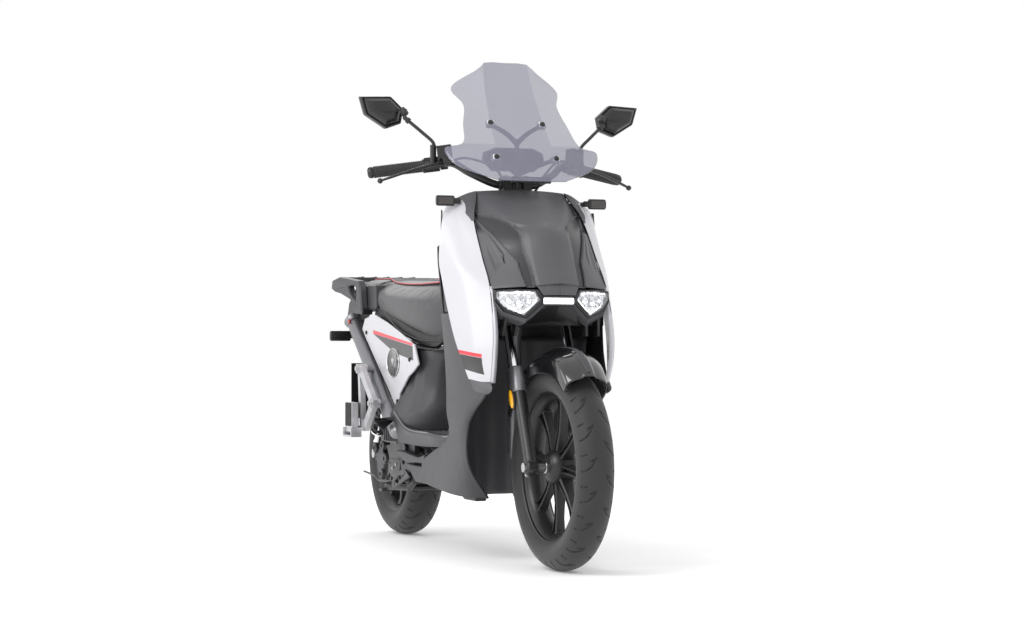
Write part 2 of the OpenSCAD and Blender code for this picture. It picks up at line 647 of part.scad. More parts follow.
module front_axle() color("silver") {
    cyl_x(-fork_x - 18, fork_x + 18, front_axle_y, front_tyre_r, front_axle_r);
    both_sides() cyl_x(fork_x + 14, fork_x + 24, front_axle_y, front_tyre_r, 13);
    // Spacers between the hub and the fork legs
    both_sides() difference() {
        cyl_x(front_hub_w + move_gap, fork_x - 13, front_axle_y, front_tyre_r, 14);
        cyl_x(40, fork_x, front_axle_y, front_tyre_r, front_axle_r);
    }
}

module front_mudguard() color("black") {
    r0 = front_tyre_r + 14;
    w = front_tyre_w / 2 + 11;
    at_wheel(front_axle_y, front_tyre_r) rotate([0, 0, 122]) rotate_extrude(angle = 98, $fn = 64)
        polygon([[r0 + 20, 0], [r0 + 15, 22], [r0 - 4, w - 3], [r0 - 32, w], [r0 - 32, w - 3], [r0 - 8, w - 7],
            [r0 + 11, 20], [r0 + 16, 0], [r0 + 11, -20], [r0 - 8, 7 - w], [r0 - 32, 3 - w], [r0 - 32, -w],
            [r0 - 4, 3 - w], [r0 + 15, -22]]);
    // Stays that end in the middle of the fork legs' walls
    in_steering() both_sides() translate([w - 2, fork_y - 9, leg_top - 52])
        cube([fork_x - (leg_r + stanchion_r) / 2 - w + 2, 18, 30]);
}

module front_caliper() color("black") in_steering() translate([0, axle_ly, -fork_len]) {
    difference() {
        translate([disc_x - 12, 58, 52]) rotate([-45, 0, 0]) translate([0, -22, -32]) cube([28, 44, 64]);
        translate([disc_x - 3, 0, 0]) rotate([0, 90, 0]) cylinder(r = front_disc_r + 4, h = 6);
    }
    translate([disc_x + 12, 18, 40]) cube([fork_x - leg_r - disc_x + 2, 52, 16]);
}

module fork_reflectors() color("orange") both_sides() in_steering()
    translate([fork_x + leg_r + 0.2, fork_y - 6, leg_top - 96]) rotate([0, 90, 0]) {
        hull() for (d = [-18, 18]) translate([d, 0, 0]) cylinder(r = 11, h = 5, $fn = 32);
    }

// ---- wheels ----

// Outline of half a tyre's section as [radius, width] from the bead to the crown
function tyre_side(R, hw, k) = concat([[R - 82 + k, hw - 16]],
    [for (a = [-30:12:66]) [R - 45 + (45 - k) * sin(a), (hw - k) * cos(a)]], [[R - k, 18 - k / 2]]);
module tyre(R, hw) {
    outer = tyre_side(R, hw, 0);
    inner = tyre_side(R, hw, 8);
    half = concat(outer, [for (i = [len(inner) - 1:-1:0]) inner[i]]);
    left = [for (p = half) [p[0], -p[1]]];
    rotate_extrude($fn = 96) polygon(concat(outer, [for (i = [len(outer) - 1:-1:0]) [outer[i][0], -outer[i][1]]],
        [for (p = inner) [p[0], -p[1]]], [for (i = [len(inner) - 1:-1:0]) inner[i]]));
}

module front_tyre() color("black") at_wheel(front_axle_y, front_tyre_r) tyre(front_tyre_r, front_tyre_w / 2);
module rear_tyre() color("black") at_wheel(rear_axle_y, rear_tyre_r) tyre(rear_tyre_r, rear_tyre_w / 2);

// Rim hoop that fills the gap between the beads
module hoop(R, hw) rotate_extrude($fn = 96) polygon([[R - 76, hw - 16.4], [R - 76, hw - 20], [R - 92, hw - 23],
    [R - 97, 0], [R - 92, 23 - hw], [R - 76, 20 - hw], [R - 76, 16.4 - hw], [R - 84, 16.4 - hw],
    [R - 101, 21 - hw], [R - 104, 0], [R - 101, hw - 21], [R - 84, hw - 16.4]]);

module front_rim() color("black") at_wheel(front_axle_y, front_tyre_r) difference() {
    union() {
        hoop(front_tyre_r, front_tyre_w / 2);
        translate([0, 0, -front_hub_w]) cylinder(r = 24, h = 2 * front_hub_w);
        translate([0, 0, -26]) cylinder(r = 42, h = 52);
        for (i = [0:7]) rotate([0, 0, 45 * i]) translate([36, 0, 0]) {
            translate([0, -9, -16]) cube([front_tyre_r - 138, 4, 32]);
            translate([0, 5, -16]) cube([front_tyre_r - 138, 4, 32]);
            translate([0, -9, -4]) cube([front_tyre_r - 138, 18, 5]);
        }
    }
    translate([0, 0, -60]) cylinder(r = front_axle_r + run_gap, h = 120);
}

module disc_rotor(r, hub) difference() {
    union() {
        difference() {
            cylinder(r = r, h = 4);
            translate([0, 0, -1]) cylinder(r = r - 30, h = 6);
        }
        for (i = [0:4]) rotate([0, 0, 72 * i]) translate([hub, -8, 0]) cube([r - 26 - hub, 16, 4]);
        cylinder(r = hub + 8, h = 4);
    }
    translate([0, 0, -1]) cylinder(r = hub, h = 6);
    for (i = [0:14]) rotate([0, 0, 24 * i]) translate([r - 14, 0, -1]) cylinder(r = 4, h = 6);
}

module front_disc() color("silver") {
    at_wheel(front_axle_y, front_tyre_r) translate([0, 0, disc_x - 2]) disc_rotor(front_disc_r, 26);
    at_wheel(front_axle_y, front_tyre_r) difference() {
        translate([0, 0, 26]) cylinder(r = 33, h = disc_x - 28);
        translate([0, 0, 20]) cylinder(r = 24.2, h = disc_x);
    }
}

module rear_hub_motor() color("black") at_wheel(rear_axle_y, rear_tyre_r) difference() {
    union() {
        hoop(rear_tyre_r, rear_tyre_w / 2);
        translate([0, 0, -40]) cylinder(r = motor_r, h = 80);
        translate([0, 0, -46]) cylinder(r = motor_r - 30, h = 92);
        translate([0, 0, -rear_hub_w]) cylinder(r = 30, h = 2 * rear_hub_w);
        for (i = [0:9]) rotate([0, 0, 36 * i]) translate([motor_r - 6, -8, -20])
            cube([rear_tyre_r - 94 - motor_r, 16, 40]);
    }
    translate([0, 0, -60]) cylinder(r = rear_axle_r + run_gap, h = 120);
}

module rear_disc() color("silver") at_wheel(rear_axle_y, rear_tyre_r) {
    translate([0, 0, rear_disc_x]) disc_rotor(rear_disc_r, 20);
    translate([0, 0, rear_hub_w]) difference() {
        cylinder(r = 27, h = rear_disc_x - rear_hub_w);
        translate([0, 0, -1]) cylinder(r = 20, h = 10);
    }
}

// ---- rear suspension ----

module swingarm() color("black") difference() {
    union() {
        both_sides() {
            plate_x(arm_x - 11, arm_x + 11, [[pivot_y - 16, pivot_z + 24], [pivot_y - 24, pivot_z],
                [pivot_y - 16, pivot_z - 24], [rear_axle_y + 12, rear_tyre_r - 22],
                [rear_axle_y + 26, rear_tyre_r], [rear_axle_y + 12, rear_tyre_r + 22]]);
            cyl_x(arm_x - 11, arm_x + 11, shock_low[0], shock_low[1] - 4, 16);
            cyl_x(arm_x - 14, arm_x + 38, pivot_y, pivot_z, pivot_r + 9);
            cyl_x(arm_x + 5, shock_x + 12, shock_low[0], shock_low[1], 5);
        }
        cyl_x(-arm_x, arm_x, pivot_y + 116, pivot_z - 8, 22);
    }
    cyl_x(-200, 200, pivot_y, pivot_z, pivot_r + run_gap);
    cyl_x(-200, 200, rear_axle_y, rear_tyre_r, rear_axle_r + run_gap);
}

module rear_axle() color("silver") {
    cyl_x(-arm_x - 20, arm_x + 20, rear_axle_y, rear_tyre_r, rear_axle_r);
    both_sides() cyl_x(arm_x + 11.2, arm_x + 24, rear_axle_y, rear_tyre_r, 15);
    both_sides() difference() {
        cyl_x(rear_disc_x + 4.5, arm_x - 11.2, rear_axle_y, rear_tyre_r, 15);
        cyl_x(50, arm_x, rear_axle_y, rear_tyre_r, rear_axle_r);
    }
}

module rear_caliper() color("black") {
    difference() {
        box([rear_disc_x - 8, rear_axle_y - 128, rear_tyre_r + 10], [rear_disc_x + 18, rear_axle_y - 78, rear_tyre_r + 68]);
        cyl_x(rear_disc_x - 1, rear_disc_x + 5, rear_axle_y, rear_tyre_r, rear_disc_r + 4);
    }
    box([rear_disc_x + 18, rear_axle_y - 122, rear_tyre_r + 12], [arm_x - 11, rear_axle_y - 84, rear_tyre_r + 30]);
}

module shock_bodies() color("black") both_sides() in_shock() difference() {
    union() {
        translate([-8, 0, 0]) rotate([0, 90, 0]) cylinder(r = 14, h = 16);
        translate([0, 0, 8]) cylinder(r = 15, h = 164);
        translate([0, 0, 30]) cylinder(r = spring_r + 2, h = 5);
    }
    translate([-20, 0, 0]) rotate([0, 90, 0]) cylinder(r = 6 + run_gap, h = 40);
    translate([0, 0, 60]) cylinder(r = shock_rod_r + run_gap, h = 130);
}

module shock_rods() color("silver") both_sides() in_shock() difference() {
    union() {
        translate([-8, 0, shock_len]) rotate([0, 90, 0]) cylinder(r = 14, h = 16);
        translate([0, 0, 125]) cylinder(r = shock_rod_r, h = shock_len - 130);
        translate([0, 0, shock_len - 50]) cylinder(r = spring_r + 2, h = 5);
        translate([0, 0, shock_len - 50]) cylinder(r = 10, h = 42);
    }
    translate([-20, 0, shock_len]) rotate([0, 90, 0]) cylinder(r = 5 + move_gap, h = 40);
}

module shock_springs() color("firebrick") both_sides() in_shock() translate([0, 0, 35.5]) difference() {
    cylinder(r = spring_r, h = shock_len - 86);
    translate([0, 0, -1]) cylinder(r = spring_r - 5, h = shock_len - 80);
}

// ---- stand and pegs ----

module centre_stand() color("black") {
    cyl_x(-158, 158, stand_y, stand_z, stand_r);
    both_sides() {
        pipe([[120, stand_y, stand_z], [122, 250, 176], [150, 402, 172]], 10);
        box([132, 392, 158], [168, 424, 166]);
        cyl_x(147, 158, stand_y, stand_z, 15);
    }
    rod([-123, 270, 176], [123, 270, 176], 9);
    // Foot tang
    pipe([[158, stand_y, stand_z], [176, 230, 200], [186, 330, 206]], 7);
}

module pillion_peg() difference() {
    union() {
        box([peg_x - 12, peg_y0, peg_z + 9], [peg_x + 12, peg_y0 + 70, peg_z + 88]);
        rod([peg_x, peg_y0 - 3.4, peg_z], [peg_x, peg_y0 + 73.4, peg_z], 9);
        box([peg_x - 8, peg_y0 + 6, peg_z], [peg_x + 8, peg_y0 + 64, peg_z + 10]);
    }
    rod([peg_x, peg_y0 - 20, peg_z], [peg_x, peg_y0 + 90, peg_z], 4 + run_gap);
}
module pillion_peg_left() color("dimgray") pillion_peg();
module pillion_peg_right() color("dimgray") mirror([1, 0, 0]) pillion_peg();

main_frame();
pivot_plates();
battery_pack();
front_fascia();
apron_right();
apron_left();
lower_leg_shield();
inner_leg_shield();
floorboard();
underseat_cover();
side_panels();
tail_fairing();
grab_rail();
tail_light();
rear_mudguard();
indicators();
headlight_housing();
headlight_lenses();
peg_brackets();
seat_pan();
seat_cushion();
steering_stem();
fork_stanchions();
handlebar();
left_grip();
switch_housings();
display();
windshield();
windshield_bracket();
master_cylinders();
brake_hoses();
mirror_stems();
fork_lowers();
front_axle();
front_mudguard();
front_caliper();
fork_reflectors();
front_tyre();
front_rim();
front_disc();
swingarm();
rear_axle();
rear_caliper();
rear_tyre();
rear_hub_motor();
rear_disc();
shock_bodies();
shock_rods();
shock_springs();
brake_lever_right();
brake_lever_left();
throttle_grip();
mirror_right();
mirror_left();
pillion_peg_right();
pillion_peg_left();
centre_stand();
kill_switch();
horn_button();
indicator_switch();
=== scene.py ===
"""Electric moped scooter: finished surfaces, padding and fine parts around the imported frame."""
import json
import math

import bpy
import numpy as np
from mathutils import Matrix, Vector


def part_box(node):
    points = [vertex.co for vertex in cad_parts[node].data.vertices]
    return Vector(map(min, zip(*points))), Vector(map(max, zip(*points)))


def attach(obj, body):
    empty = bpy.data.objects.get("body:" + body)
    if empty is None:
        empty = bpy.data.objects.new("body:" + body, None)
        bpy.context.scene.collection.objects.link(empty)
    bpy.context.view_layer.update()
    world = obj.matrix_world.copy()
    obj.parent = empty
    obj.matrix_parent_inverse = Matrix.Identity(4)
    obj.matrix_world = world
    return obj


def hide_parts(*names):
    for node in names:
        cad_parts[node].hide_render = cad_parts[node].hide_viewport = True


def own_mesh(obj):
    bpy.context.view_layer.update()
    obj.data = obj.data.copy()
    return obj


bl_info = {
    "name": "Electric Moped Scooter",
    "version": (1, 0, 0),
    "blender": (4, 5, 0),
    "location": "View3D > Sidebar > Scooter",
    "description": "Builds a step-through electric moped scooter around its solid frame",
    "category": "Add Mesh",
}

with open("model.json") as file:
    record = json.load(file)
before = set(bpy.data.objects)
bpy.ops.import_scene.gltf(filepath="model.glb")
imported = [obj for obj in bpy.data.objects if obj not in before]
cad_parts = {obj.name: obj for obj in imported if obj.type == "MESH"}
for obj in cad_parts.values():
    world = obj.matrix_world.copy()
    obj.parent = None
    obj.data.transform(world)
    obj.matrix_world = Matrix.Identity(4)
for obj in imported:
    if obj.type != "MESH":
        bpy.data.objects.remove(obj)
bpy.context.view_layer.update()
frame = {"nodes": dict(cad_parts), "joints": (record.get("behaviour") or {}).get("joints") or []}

MM = 0.001
# Camera: its place in metres, its turn off straight ahead and its lift, and its lens
CAMERA_PLACE = (-2.3063, -6.3899, 0.5919)
CAMERA_TURN = math.radians(20.81)
CAMERA_LIFT = math.radians(0.86)
CAMERA_LENS = 79.0
# Seat padding: size of the even mesh in millimetres, and the frames that the cloth solver runs
FOAM_VOXEL = 6
FOAM_FRAMES = 20


# ---- places taken from the frame, in millimetres ----

def corners(node):
    low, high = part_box(node)
    return low / MM, high / MM


def middle(node):
    low, high = corners(node)
    return (low + high) / 2


def joint_of(name):
    return next(joint for joint in frame["joints"] if joint["name"] == name)


FRONT_HUB = middle("front_tyre")
REAR_HUB = middle("rear_tyre")
FRONT_R = (corners("front_tyre")[1] - corners("front_tyre")[0]).z / 2
REAR_R = (corners("rear_tyre")[1] - corners("rear_tyre")[0]).z / 2
FRONT_W = (corners("front_tyre")[1] - corners("front_tyre")[0]).x
REAR_W = (corners("rear_tyre")[1] - corners("rear_tyre")[0]).x
STEER_AXIS = Vector(joint_of("steer")["axis"]).normalized()
THROTTLE = joint_of("throttle_twist")
GRIP_IN = Vector((-THROTTLE["pos_m"][0], *THROTTLE["pos_m"][1:])) / MM
BAR_WAY = Vector((-THROTTLE["axis"][0], *THROTTLE["axis"][1:])).normalized()
# Half the distance between the fork legs, and between the shock absorbers
LEG_X = 88
SHOCK_X = 120


def bar_point(down, back, out):
    """Point beside the left grip: down and back from the bar, and out along it from its inner end."""
    turn = math.atan2(BAR_WAY.y, BAR_WAY.x)
    tilt = math.acos(BAR_WAY.z)
    x_way = Vector((math.cos(tilt) * math.cos(turn), math.cos(tilt) * math.sin(turn), -math.sin(tilt)))
    y_way = Vector((-math.sin(turn), math.cos(turn), 0))
    return GRIP_IN + down * x_way + back * y_way + out * BAR_WAY


# ---- shapes: (points in millimetres, faces) ----

def curve(points, steps=8):
    """Smooth curve through given points of any dimension."""
    p = np.array([tuple(q) for q in points], float)
    out = []
    for i in range(len(p) - 1):
        a, b, c, d = p[max(i - 1, 0)], p[i], p[i + 1], p[min(i + 2, len(p) - 1)]
        for t in np.arange(steps) / steps:
            out.append(0.5 * (2 * b + (c - a) * t + (2 * a - 5 * b + 4 * c - d) * t * t
                              + (3 * b - a - 3 * c + d) * t ** 3))
    out.append(p[-1])
    return np.array(out)


def table(x, rows, column=1):
    """Value read from rows of (x, value, ...) with straight stretches between them."""
    rows = sorted(rows)
    return np.interp(x, [r[0] for r in rows], [r[column] for r in rows])


def step(x, low, high):
    t = np.clip((np.asarray(x, float) - low) / (high - low), 0, 1)
    return t * t * (3 - 2 * t)


def join(*shapes):
    points, faces, start = [], [], 0
    for p, f in shapes:
        points.append(np.asarray(p, float).reshape(-1, 3))
        faces += [tuple(i + start for i in face) for face in f]
        start += len(points[-1])
    return np.concatenate(points), faces


def flipped(shape):
    p = np.array(shape[0], float)
    p[:, 0] *= -1
    return p, [tuple(reversed(f)) for f in shape[1]]


def both(shape):
    return join(shape, flipped(shape))


def placed(shape, matrix):
    p = np.array(shape[0], float)
    m = np.array(matrix, float)
    return p @ m[:3, :3].T + m[:3, 3], shape[1]


def towards(origin, way):
    """Matrix that puts local z along way at origin."""
    return Matrix.Translation(Vector(origin)) @ Vector(way).to_track_quat("Z", "Y").to_matrix().to_4x4()


def grid(rows, closed=False):
    """Sheet of four-sided faces through rows of points; closed joins each row's ends."""
    rows = np.array([[tuple(p) for p in row] for row in rows], float)
    n, m = rows.shape[:2]
    last = m if closed else m - 1
    faces = [(i * m + j, i * m + (j + 1) % m, (i + 1) * m + (j + 1) % m, (i + 1) * m + j)
             for i in range(n - 1) for j in range(last)]
    return rows.reshape(-1, 3), faces


def loft(rings, caps=True):
    points, faces = grid(rings, closed=True)
    m = len(rings[0])
    if caps:
        faces = faces + [tuple(range(m))[::-1], tuple(range(len(points) - m, len(points)))]
    return points, faces


def dense(rows, across=6, down=6):
    """Rows of given points made dense and smooth both ways."""
    wide = [curve(row, across) for row in rows]
    full = curve([np.concatenate(w) for w in wide], down)
    return [list(r) for r in full.reshape(-1, len(wide[0]), 3)]


def box(low, high):
    (a, b, c), (d, e, f) = low, high
    return loft([[(a, b, c), (d, b, c), (d, e, c), (a, e, c)],
                 [(a, b, f), (d, b, f), (d, e, f), (a, e, f)]])


def prism(outline, low, high, axis="x"):
    """Outline in the plane across an axis, drawn out along it."""
    turn = {"x": (2, 0, 1), "y": (0, 2, 1), "z": (0, 1, 2)}[axis]
    return loft([[tuple((u, v, w)[k] for k in turn) for u, v in outline] for w in (low, high)])


def lathe(profile, matrix, n=64):
    """Profile of (z, radius) turned about the matrix's z."""
    sweep = np.linspace(0, math.tau, n, endpoint=False)
    rings = [[(r * math.cos(a), r * math.sin(a), z) for a in sweep] for z, r in profile]
    return placed(grid(rings, closed=True), matrix)


def turned(profile, origin, way, n=48):
    """Closed turned part: a lathe shape with its two ends capped."""
    ends = [(profile[0][0], 0.01), *profile, (profile[-1][0], 0.01)]
    return lathe(ends, towards(origin, way), n)


def wheel_shape(profile, hub, n=128):
    """Closed profile of (x, radius) turned about a wheel's axle."""
    matrix = Matrix.Translation(hub) @ Matrix.Rotation(math.pi / 2, 4, "Y")
    return lathe([*profile, profile[0]], matrix, n)


def tube(points, radius, n=16, steps=6, section=None):
    """Round or shaped tube along a smooth route; radius may be a list with one for each point."""
    points = [tuple(p) for p in points]
    radii = np.atleast_1d(radius)
    if len(radii) == 1:
        radii = np.repeat(radii, len(points))
    route = np.array([(*p, r) for p, r in zip(points, radii)])
    if steps > 1:
        route = curve(route, steps)
    line, size = route[:, :3], route[:, 3]
    ways = np.gradient(line, axis=0)
    ways /= np.linalg.norm(ways, axis=1)[:, None]
    side = np.cross(ways[0], (0.1, 0.2, 1))
    side /= np.linalg.norm(side)
    circle = [(math.cos(a), math.sin(a)) for a in np.linspace(0, math.tau, n, endpoint=False)]
    rings = []
    for p, w, r in zip(line, ways, size):
        side = side - w * side.dot(w)
        side /= np.linalg.norm(side)
        up = np.cross(w, side)
        rings.append([p + r * (u * side + v * up) for u, v in (section or circle)])
    return loft(rings)


def bolt(origin, way, radius=5.0, height=5.0):
    """Flanged socket-head bolt, with its hexagonal recess."""
    matrix = towards(origin, way)
    head = [(0, radius * 1.35), (1.2, radius * 1.35), (1.6, radius), (height - 0.6, radius),
            (height, radius - 0.6)]
    outer = lathe([(0, 0.01), *head, (height, radius * 0.6)], matrix, 24)
    hexagon = [(radius * 0.55 * math.cos(a), radius * 0.55 * math.sin(a))
               for a in np.arange(6) * math.pi / 3]
    rim = [(radius * 0.6 * math.cos(a), radius * 0.6 * math.sin(a), height)
           for a in np.arange(24) * math.tau / 24]
    well = placed(loft([[(u, v, height - 0.2) for u, v in hexagon],
                        [(u * 0.96, v * 0.96, height - radius * 0.7) for u, v in hexagon]], False),
                  matrix)
    floor = placed(([(u, v, height - radius * 0.7) for u, v in hexagon], [tuple(range(6))]), matrix)
    cap = placed((rim + [(0, 0, height - 0.2)], [(i, (i + 1) % 24, 24) for i in range(24)]), matrix)
    return join(outer, well, floor, cap)


def nut(origin, way, across=9.0, height=7.0):
    hexagon = [(across * math.cos(a), across * math.sin(a)) for a in np.arange(6) * math.pi / 3]
    return placed(loft([[(u, v, 0) for u, v in hexagon], [(u, v, height * 0.86) for u, v in hexagon],
                        [(u * 0.86, v * 0.86, height) for u, v in hexagon]]), towards(origin, way))


# ---- pieces ----

def rounded(obj, width, segments, angle):
    """Adds the bevel that rounds an object's hard edges."""
    edges = obj.modifiers.new("edges", "BEVEL")
    edges.width = width * MM
    edges.segments = segments
    edges.limit_method = "ANGLE"
    edges.angle_limit = math.radians(angle)
    edges.harden_normals = False


def even_shading(obj):
    obj.modifiers.new("shading", "WEIGHTED_NORMAL").keep_sharp = True


def piece(name, shape, paint, body, replaces=None, bevel=0.0, segments=2, thick=0.0,
          sharp=32.0):
    """Makes one object that rides on a body, with a wall, rounded edges and creases above an angle."""
    points, faces = shape
    mesh = bpy.data.meshes.new(name)
    mesh.from_pydata([tuple(p) for p in np.asarray(points, float) * MM], [],
                     [tuple(map(int, face)) for face in faces])
    mesh.validate()
    obj = bpy.data.objects.new(name, mesh)
    bpy.context.scene.collection.objects.link(obj)
    mesh.materials.append(paint)
    mesh.polygons.foreach_set("use_smooth", [True] * len(mesh.polygons))
    mesh.set_sharp_from_angle(angle=math.radians(sharp))
    if thick:
        wall = obj.modifiers.new("wall", "SOLIDIFY")
        wall.thickness = thick * MM
        wall.offset = -1
        wall.use_even_offset = True
    if bevel:
        rounded(obj, bevel, segments, sharp)
        even_shading(obj)
    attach(obj, body)
    if replaces:
        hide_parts(replaces)
    return obj


def dress(paint, *nodes, bevel=0.0):
    """Gives solids of the frame their finish and softly rounded edges."""
    for name in nodes:
        obj = frame["nodes"][name]
        obj.data.materials.clear()
        obj.data.materials.append(paint)
        if bevel:
            obj.modifiers.new("weld", "WELD").merge_threshold = 0.01 * MM
            rounded(obj, bevel, 2, 32)
        even_shading(obj)


# ---- finishes ----

class Val:
    """A shader value that takes part in ordinary arithmetic."""

    def __init__(self, paint, socket):
        self.paint = paint
        self.socket = socket

    def op(self, operation, *values):
        return self.paint.node("ShaderNodeMath", {"operation": operation}, values)

    def __add__(self, other):
        return self.op("ADD", self, other)

    def __sub__(self, other):
        return self.op("SUBTRACT", self, other)

    def __rsub__(self, other):
        return self.op("SUBTRACT", other, self)

    def __mul__(self, other):
        return self.op("MULTIPLY", self, other)

    def __truediv__(self, other):
        return self.op("DIVIDE", self, other)

    def __pow__(self, other):
        return self.op("POWER", self, other)

    def __abs__(self):
        return self.op("ABSOLUTE", self)

    __radd__ = __add__
    __rmul__ = __mul__

    def least(self, other):
        return self.op("MINIMUM", self, other)

    def most(self, other):
        return self.op("MAXIMUM", self, other)

    def step(self, low, high):
        """Zero below low, one above high, and straight between them."""
        return self.paint.node("ShaderNodeMapRange", {},
                               {"Value": self, "From Min": low, "From Max": high})


class Paint:
    """One material: a principled shader and the nodes that feed it."""

    def __init__(self, name, **sockets):
        self.material = bpy.data.materials.new(name)
        self.material.use_nodes = True
        self.tree = self.material.node_tree
        self.shader = self.tree.nodes["Principled BSDF"]
        self.place = self.node("ShaderNodeTexCoord", out="Object")
        self.set(**sockets)

    def node(self, kind, settings=None, inputs=(), out=0):
        made = self.tree.nodes.new(kind)
        for key, value in (settings or {}).items():
            setattr(made, key, value)
        pairs = inputs.items() if isinstance(inputs, dict) else enumerate(inputs)
        for key, value in pairs:
            if isinstance(value, Val):
                self.tree.links.new(value.socket, made.inputs[key])
            else:
                made.inputs[key].default_value = value
        return Val(self, made.outputs[out])

    def set(self, **sockets):
        for key, value in sockets.items():
            socket = self.shader.inputs[key.replace("_", " ").title().replace("Ior", "IOR")]
            if isinstance(value, Val):
                self.tree.links.new(value.socket, socket)
            else:
                socket.default_value = (*value, 1) if isinstance(value, tuple) else value
        return self

    def noise(self, scale, detail=2.0, rough=0.5, where=None):
        return self.node("ShaderNodeTexNoise", {}, {"Vector": where or self.place, "Scale": scale,
                                                    "Detail": detail, "Roughness": rough})

    def cells(self, scale, feature="F1"):
        return self.node("ShaderNodeTexVoronoi", {"feature": feature},
                         {"Vector": self.place, "Scale": scale},
                         "Distance")

    def axis(self, letter):
        return self.node("ShaderNodeSeparateXYZ", {}, [self.place], letter)

    def blend(self, factor, low, high):
        """Colour between two colours."""
        values = {"Factor": factor, 6: low if isinstance(low, Val) else (*low, 1),
                  7: high if isinstance(high, Val) else (*high, 1)}
        return self.node("ShaderNodeMix", {"data_type": "RGBA"}, values, 2)

    def bump(self, height, depth):
        return self.node("ShaderNodeBump", {}, {"Height": height, "Distance": depth, "Strength": 1.0})

    def varied(self, colour, amount=0.08, scale=7.0):
        """Colour with the faint unevenness of a real surface."""
        spots = self.noise(scale, 4.0)
        dark = tuple(c * (1 - amount) for c in colour)
        light = tuple(min(1, c * (1 + amount)) for c in colour)
        return self.blend(spots.step(0.3, 0.7), dark, light)


def grained(name, colour, rough=0.45, grain=1400.0, depth=0.00006):
    """Moulded plastic with a fine spark-eroded grain."""
    paint = Paint(name)
    height = paint.cells(grain) * 0.6 + paint.noise(grain * 0.4) * 0.4
    paint.set(base_color=paint.varied(colour), roughness=rough + 0.1 * (paint.noise(40.0, 3.0) - 0.5),
              normal=paint.bump(height, depth))
    return paint.material


def coated(name, colour, rough=0.3, peel=260.0, depth=0.00005, metallic=0.0, coat=0.0):
    """Paint or powder coat with a faint orange peel."""
    paint = Paint(name, metallic=metallic, coat_weight=coat, coat_roughness=0.06)
    paint.set(base_color=paint.varied(colour, 0.06),
              roughness=rough + 0.08 * (paint.noise(30.0, 3.0) - 0.5),
              normal=paint.bump(paint.noise(peel, 2.0), depth))
    return paint.material


def cast(name, colour, rough=0.42):
    """Bead-blasted casting."""
    paint = Paint(name, metallic=0.9)
    pits = paint.noise(900.0, 4.0, 0.6)
    paint.set(base_color=paint.varied(colour, 0.1, 25.0),
              roughness=rough + 0.15 * (paint.noise(60.0) - 0.5),
              normal=paint.bump(pits, 0.00012))
    return paint.material


def machined(name, colour, rough=0.25, lines=900.0):
    """Bright metal with fine turning lines round the axle."""
    paint = Paint(name, metallic=1.0)
    drawn = paint.node("ShaderNodeMapping", {}, {"Vector": paint.place, "Scale": (0.06, 1, 1)})
    waves = paint.noise(lines, 2.0, where=drawn)
    paint.set(base_color=paint.varied(colour, 0.05, 30.0), roughness=rough + 0.12 * (waves - 0.5),
              normal=paint.bump(waves, 0.00002))
    return paint.material


def tyre_rubber(name, colour):
    paint = Paint(name, sheen_weight=0.15)
    flecks = paint.noise(800.0, 5.0, 0.7)
    dust = paint.noise(14.0, 5.0).step(0.45, 0.75)
    paint.set(base_color=paint.blend(dust * 0.35, colour, tuple(c * 1.9 for c in colour)),
              roughness=0.62 + 0.15 * (flecks - 0.5), normal=paint.bump(flecks, 0.00012))
    return paint.material


def vinyl(name, colour, scale=420.0, rough=0.5, depth=0.00022):
    """Grained seat vinyl: rounded pebbles with creases between them, the creases darkened by painted shade.
    """
    paint = Paint(name, sheen_weight=0.2)
    pebbles = paint.cells(scale, "DISTANCE_TO_EDGE").step(0.0, 0.22)
    creases = paint.noise(90.0, 4.0)
    # Colour falls to 0.62 of the vinyl's colour in the creases between the pebbles: painted shade.
    paint.set(base_color=paint.blend(pebbles, tuple(c * 0.62 for c in colour),
                                     paint.varied(colour, 0.09, 9.0)),
              roughness=rough + 0.14 * (creases - 0.5) - 0.05 * pebbles,
              normal=paint.bump(pebbles * 0.75 + creases * 0.25, depth))
    return paint.material


def striped(name, stripe, band):
    """Pearl panel with a red line over a dark band, each a convex outline of (y, z) from the side."""
    paint = Paint(name, coat_weight=0.3, coat_roughness=0.05)
    y, z = paint.axis("Y") * 1000, paint.axis("Z") * 1000

    def within(outline):
        mask = None
        for ey, ez, ny, nz in edges_of(outline):
            length = math.hypot(ny, nz)
            side = ((y - ey) * (ny / length) + (z - ez) * (nz / length)).step(-0.35, 0.35)
            mask = side if mask is None else mask.least(side)
        return mask

    pearl = paint.varied(tuple(chosen().body_colour), 0.02)
    lined = paint.blend(within(band), pearl, (0.012, 0.012, 0.013))
    flakes = paint.cells(2600.0) * 0.4 + paint.noise(320.0, 2.0) * 0.6
    paint.set(base_color=paint.blend(within(stripe), lined, tuple(chosen().accent_colour)),
              roughness=0.3,
              normal=paint.bump(flakes, 0.00002))
    return paint.material


def edges_of(outline):
    """Edges of a convex outline in the side view, each with its inward way."""
    inner = np.mean(outline, axis=0)
    made = []
    for a, b in zip(outline, outline[1:] + outline[:1]):
        way = (a[1] - b[1], b[0] - a[0])
        side = way[0] * (inner[0] - a[0]) + way[1] * (inner[1] - a[1])
        made.append((a[0], a[1], *(way if side > 0 else (-way[0], -way[1]))))
    return made


def chosen():
    return bpy.context.scene.scooter


